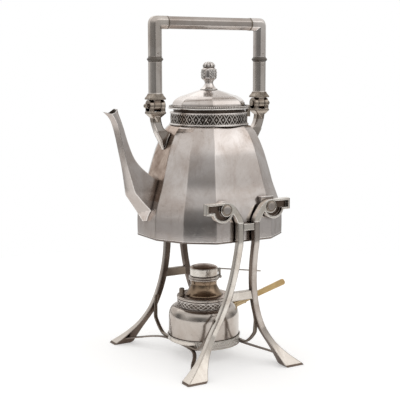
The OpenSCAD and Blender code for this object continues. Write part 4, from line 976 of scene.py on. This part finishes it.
def make_lamp():
    lr, br, sr, cz = LAMP_R, BAND_R, SNUF_R, CAP_Z
    m = at(LAMP_X, 0, 0)
    b = Build()
    side = spline([(lr - 0.6, LZ + 0.8), (lr, LZ + 4), (lr, LZ + LAMP_H * 0.5), (lr, LZ + LAMP_H * 0.72),
                   (lr - 1.6, LZ + LAMP_H * 0.88), (lr - 5, LT - 0.8), (br + 1, LT)], 8)
    b.lathe([(0, LZ), (lr - 1.6, LZ)] + side + [(br - 4, LT), (0, LT)], 120, m)
    b.done("lamp_reservoir_shell", "lamp", silver_lamp_shaded, ["lamp_reservoir"], angle=45)
    b = Build()
    b.lathe([(lr - 15.4, LZ - 9), (lr - 12.9, LZ - 9), (lr - 12.6, LZ - 8.6), (lr - 12.6, LZ - 7.6),
             (lr - 14, LZ), (lr - 16.4, LZ)], 96, m, True)
    b.done("lamp_foot_ring", "lamp", silver_lamp_shaded, ["lamp_foot"])
    b = Build()
    n = 34
    for k in range(n):
        for s in (-1, 1):
            path = []
            for i in range(7):
                t = i / 6
                a = 2 * pi * (k + s * t * 1.6) / n
                path.append(((br - 0.25) * cos(a), (br - 0.25) * sin(a), LT + 0.6 + t * 6.6))
            b.tube(path, 0.42, 6, m)
    b.lathe([(br - 1.4, LT), (br - 0.3, LT), (br - 0.3, LT + 7.8), (br - 1.4, LT + 7.8)], 96, m, True)
    for z in (LT + 0.5, LT + 7.3):
        b.lathe([(br - 0.6, z - 0.5), (br, z - 0.3), (br, z + 0.3), (br - 0.6, z + 0.5)], 96, m, True)
    ob = b.done("lamp_crosshatch_band", "lamp", silver_open, ["lamp_lattice_band"], weighted=False)
    # Painted shade on the band behind the lattice, where the openings show dark.
    paint(ob, tarnish_and_shade, lambda c, n: hypot(c.x - LAMP_X, c.y) < br - 0.29 and abs(n.z) < 0.3 and
          LT + 0.9 < c.z < LT + 6.9 and abs(hypot(c.x - LAMP_X, c.y) - br + 0.3) < 0.02)
    b = Build()
    c = COVER_Z
    b.lathe([(10, c), (br - 0.8, c), (br - 0.8, c + 0.9), (br + 0.5, c + 1.2), (br + 0.6, c + 1.5),
             (br + 0.6, c + 3.0), (br + 0.3, c + 3.5), (br - 1, c + 4.2), (br - 2.2, c + 4.2),
             (br - 2.8, c + 3.9), (23, c + 3.9), (22.2, c + 4.2), (10, c + 4.2)], 96, m, True)
    ob = b.done("lamp_cover_plate", "lamp", silver_lamp_shaded, ["lamp_cover"])
    paint(ob, silver_copper, lambda c, n: n.z > 0.5 and hypot(c.x - LAMP_X, c.y) < br - 3)
    b = Build()
    z = NECK2_Z
    b.lathe([(19.8, z), (21.6, z), (21.8, z + 0.4)]
            + spline([(21.4, z + 1.2), (18.6, z + 4.4), (15.8, z + 9), (14.8, z + 13.4), (15.6, z + 17)], 8)
            + [(11.4, z + 17), (11.4, z + 15.6), (13.4, z + 14), (14.2, z + 9), (17, z + 4.2)], 96, m, True)
    b.done("burner_neck_cone", "lamp", brass_worn, ["burner_neck"], slot="burner_brass")
    b = Build()
    rb = RING_BASE
    b.lathe([(9.6, rb), (sr, rb)] + arc(sr + 0.2, rb + 1.3, 1.2, -80, 80, 8)
            + arc(sr + 0.2, rb + 3.9, 1.2, -80, 80, 8) + [(sr - 0.4, rb + 5.2), (9.6, rb + 5.2)], 96, m, True)
    b.done("burner_bead_rings", "lamp", silver_lamp_shaded, ["burner_rings"], angle=50)
    b = Build()
    b.lathe([(sr - 1, cz), (sr, cz), (sr, cz + 8.2), (sr - 0.2, cz + 8.9)]
            + spline([(sr - 0.9, cz + 9.5), (sr * 0.8, cz + 10.6), (sr * 0.4, cz + 12), (0, cz + 12.6)], 6)
            + [(0, cz + 11.4), (sr * 0.4, cz + 10.8), (sr - 2, cz + 8.6), (sr - 1, cz + 7.8)], 96, m, True)
    ob = b.done("snuffer_cap_shell", "snuffer", silver_leg, ["snuffer_cap"], angle=45)
    paint(ob, silver_copper, lambda c, n: n.z > 0.45)


def make_handle():
    root = LAMP_R - 4
    slope = 15.5
    m = at(LAMP_X + root, 0, LZ + 29.3, 90 - slope, "Y")
    b = Build()
    b.lathe([(0, -1), (5.4, -1), (5.4, 5.2), (4.9, 5.7), (3.9, 7), (3.7, 18.2), (4.2, 18.7), (4.3, 19.2),
             (4.2, 20), (0, 20)], 48, m)
    b.done("handle_ferrule_tube", "lamp", gilt, ["handle_ferrule"])
    b = Build()
    b.lathe([(0, 20), (3.1, 20), (3.1, 22), (3.3, 22.6), (3.1, 23.2), (3.3, 37), (3.7, 74), (3.7, 76.6),
             (3.3, 77.6), (2, 78), (0, 78)], 40, m)
    b.done("handle_grip_rod", "lamp", wood, ["handle_grip"], slot="handle_wood")


for make in (make_body, make_base, make_neck, make_gallery, make_spout, make_studs, make_pin_caps, make_bail,
             make_brackets, make_lid, make_finial, make_legs, make_stretchers, make_lamp_ring, make_lamp,
             make_handle):
    make()
keep("rest_lugs", silver, 0.3)
for n in ("bail_hinge_pins", "gallery_knuckles"):
    keep(n, silver_joint, 0.3)
scrolls = ["pin_bracket_%s_%s" % (sn, fn) for sn in ("spout", "rear") for fn in ("near", "far")]
for n in scrolls + ["upper_crossbars", "lower_crossbars"]:
    keep(n, silver_leg, 0.8 if "pin" in n else 0.4, segments=3)
keep("lamp_straps", silver_dark, 0.4)
# Painted shade: the far lower crossbar takes the dark silver.
paint(frame["nodes"]["lower_crossbars"], silver_dark, lambda c, n: c.y > 0)
for n in scrolls:
    sx, sy = (-1 if "spout" in n else 1), (-1 if "near" in n else 1)
    ob = frame["nodes"][n]
    # Painted shade on the recessed web of the hooks.
    paint(ob, silver_in_shade, lambda c, n: n.y * sy > 0.9 and c.y * sy < BR_Y + LEG_BAR - 0.5)
    # Painted light on the outer rims and upward faces of the hooks.
    paint(ob, silver_hook_lit, lambda c, n: (n.y * sy > 0.9 and c.y * sy > BR_Y + LEG_BAR - 0.5) or n.z > 0.3)
    # Painted shade on the inner faces and inside the curl round the pin.
    paint(ob, silver_in_shade, lambda c, n: n.y * sy < -0.9 or (
        abs(n.y) < 0.3 and hypot(c.x - sx * PIN_X, c.z - PIN_Z) < 15
        and n.x * (sx * PIN_X - c.x) + n.z * (PIN_Z - c.z) > 0.5 * hypot(c.x - sx * PIN_X, c.z - PIN_Z)))
keep("lid_knuckle", silver_lid, 0.2)
for n in ("filler_tube", "filler_plug"):
    keep(n, silver_dark, 0.2)
for n in ("lid_hinge_pin", "finial_nut", "snuffer_hinge", "snuffer_lever"):
    keep(n, plain, 0.15)
keep("wick_tube", brass_worn, 0.2)
keep("wick", cotton, 0.3)

# the stage

FLOOR_R, FLOOR_GLOW = 0.64, 0.42
floor_mat = bpy.data.materials.new("floor_white")
n = Nodes(floor_mat)
path = n.new("LightPath").outputs
seen = n.math("MAXIMUM", n.math("MAXIMUM", path["Is Camera Ray"], path["Is Glossy Ray"]),
              path["Is Transmission Ray"])
glow = n.new("Emission", (1, 1, 1, 1), n.mul(seen, FLOOR_GLOW)).outputs[0]
matt = n.new("BsdfDiffuse", (0.80, 0.80, 0.80, 1)).outputs[0]
n.new("OutputMaterial", n.new("AddShader", matt, glow).outputs[0])
me = bpy.data.meshes.new("floor")
rim = [radians(a) for a in range(0, 360, 4)]
me.from_pydata([(FLOOR_R * cos(a), FLOOR_R * sin(a), 0) for a in rim], [], [list(range(len(rim)))])
floor = bpy.data.objects.new("floor", me)
scene.collection.objects.link(floor)
me.materials.append(floor_mat)
floor.location = (0, 0, -0.0002)

world = bpy.data.worlds.new("studio")
scene.world = world
n = Nodes(world)


def stops(value, points):
    """A value of the room, straight between these positions."""
    node = n.new("ValToRGB", value)
    e = node.color_ramp.elements
    while len(e) < len(points):
        e.new(0.5)
    for i, (p, v) in enumerate(points):
        e[i].position = p
        e[i].color = (v, v, v, 1)
    return node.outputs[0]


# up is 0 below, 0.5 level and 1 above; turn is 0.5 to the front and grows toward +X
way = n.new("SeparateXYZ", n.new("TexCoord").outputs["Generated"]).outputs
up = n.math("ADD", n.mul(way[2], 0.5), 0.5)
turn = n.math("ARCTAN2", way[0], n.mul(way[1], -1.0))
turn = n.math("ADD", n.mul(turn, 0.5 / pi), 0.5)
height = stops(up, [(0.38, 0.32), (0.46, 0.33), (0.56, 0.46), (0.67, 0.60), (0.80, 0.80), (0.90, 0.76),
                    (1.0, 0.76)])
room = stops(turn, [(a / 360 + 0.5, v) for a, v in (
    (-150, 1.10), (-138, 0.90), (-130, 0.30), (-118, 0.35), (-108, 0.72), (-90, 1.0), (-66, 0.52),
    (-46, 0.26), (-22, 0.42), (-8, 0.95), (8, 1.0), (20, 0.90), (52, 1.0), (64, 0.90), (74, 0.42),
    (84, 0.46), (98, 0.85), (140, 0.95), (156, 1.40))])
lift = stops(up, [(0.66, 0.0), (0.84, 1.0)])
room = n.math("ADD", room, n.mul(lift, n.math("SUBTRACT", 0.82, room)))
level = n.mul(n.mul(height, room), 1.30)
back_up = stops(up, [(0.40, 0.35), (0.49, 0.5), (0.54, 0.92), (0.60, 0.95), (0.75, 0.0)])
back_side = n.math("ADD", stops(turn, [(0.085, 1.0), (0.115, 0.0)]), stops(turn, [(0.80, 0.0), (0.84, 1.0)]))
level = n.math("MAXIMUM", level, n.mul(back_up, back_side))
studio = n.new("Background", (1.0, 0.988, 0.97, 1), level).outputs[0]
white = n.new("Background", (1, 1, 1, 1), 1.0).outputs[0]
eye = n.new("LightPath").outputs["Is Camera Ray"]
n.new("OutputWorld", n.new("MixShader", eye, studio, white).outputs[0])


def area(name, loc, size, power):
    """A rectangular lamp aimed at the kettle's lower part."""
    lamp = bpy.data.lights.new(name, "AREA")
    lamp.shape = "RECTANGLE"
    lamp.size, lamp.size_y = size
    lamp.energy = power
    o = bpy.data.objects.new(name, lamp)
    scene.collection.objects.link(o)
    o.location = loc
    o.rotation_euler = (Vector((0, 0, 0.2)) - Vector(loc)).to_track_quat("-Z", "Y").to_euler()


area("key", (1.0, -1.2, 1.9), (1.9, 1.9), 5)
area("back", (0.0, 1.4, 1.8), (1.8, 1.2), 3)

CAM_D, CAM_Z, CAM_AZ, CAM_PITCH, PHOTO_W = 1084.31, 332.22, radians(-31), radians(8.15), 400.0
cam = bpy.data.cameras.new("camera")
cam.sensor_width = 36.0
cam.lens = 971.0 / PHOTO_W * 36.0
cam.shift_x = -8.89 / PHOTO_W
co = bpy.data.objects.new("camera", cam)
scene.collection.objects.link(co)
co.location = ((sin(CAM_AZ) * CAM_D + SX) * MM, -cos(CAM_AZ) * CAM_D * MM, CAM_Z * MM)
back = Vector((sin(CAM_AZ) * cos(CAM_PITCH), -cos(CAM_AZ) * cos(CAM_PITCH), sin(CAM_PITCH)))
co.rotation_mode = "QUATERNION"
co.rotation_quaternion = (-back).to_track_quat("-Z", "Y")
cam.clip_start, cam.clip_end = 0.02, 30
scene.camera = co
scene.view_settings.view_transform = "Standard"
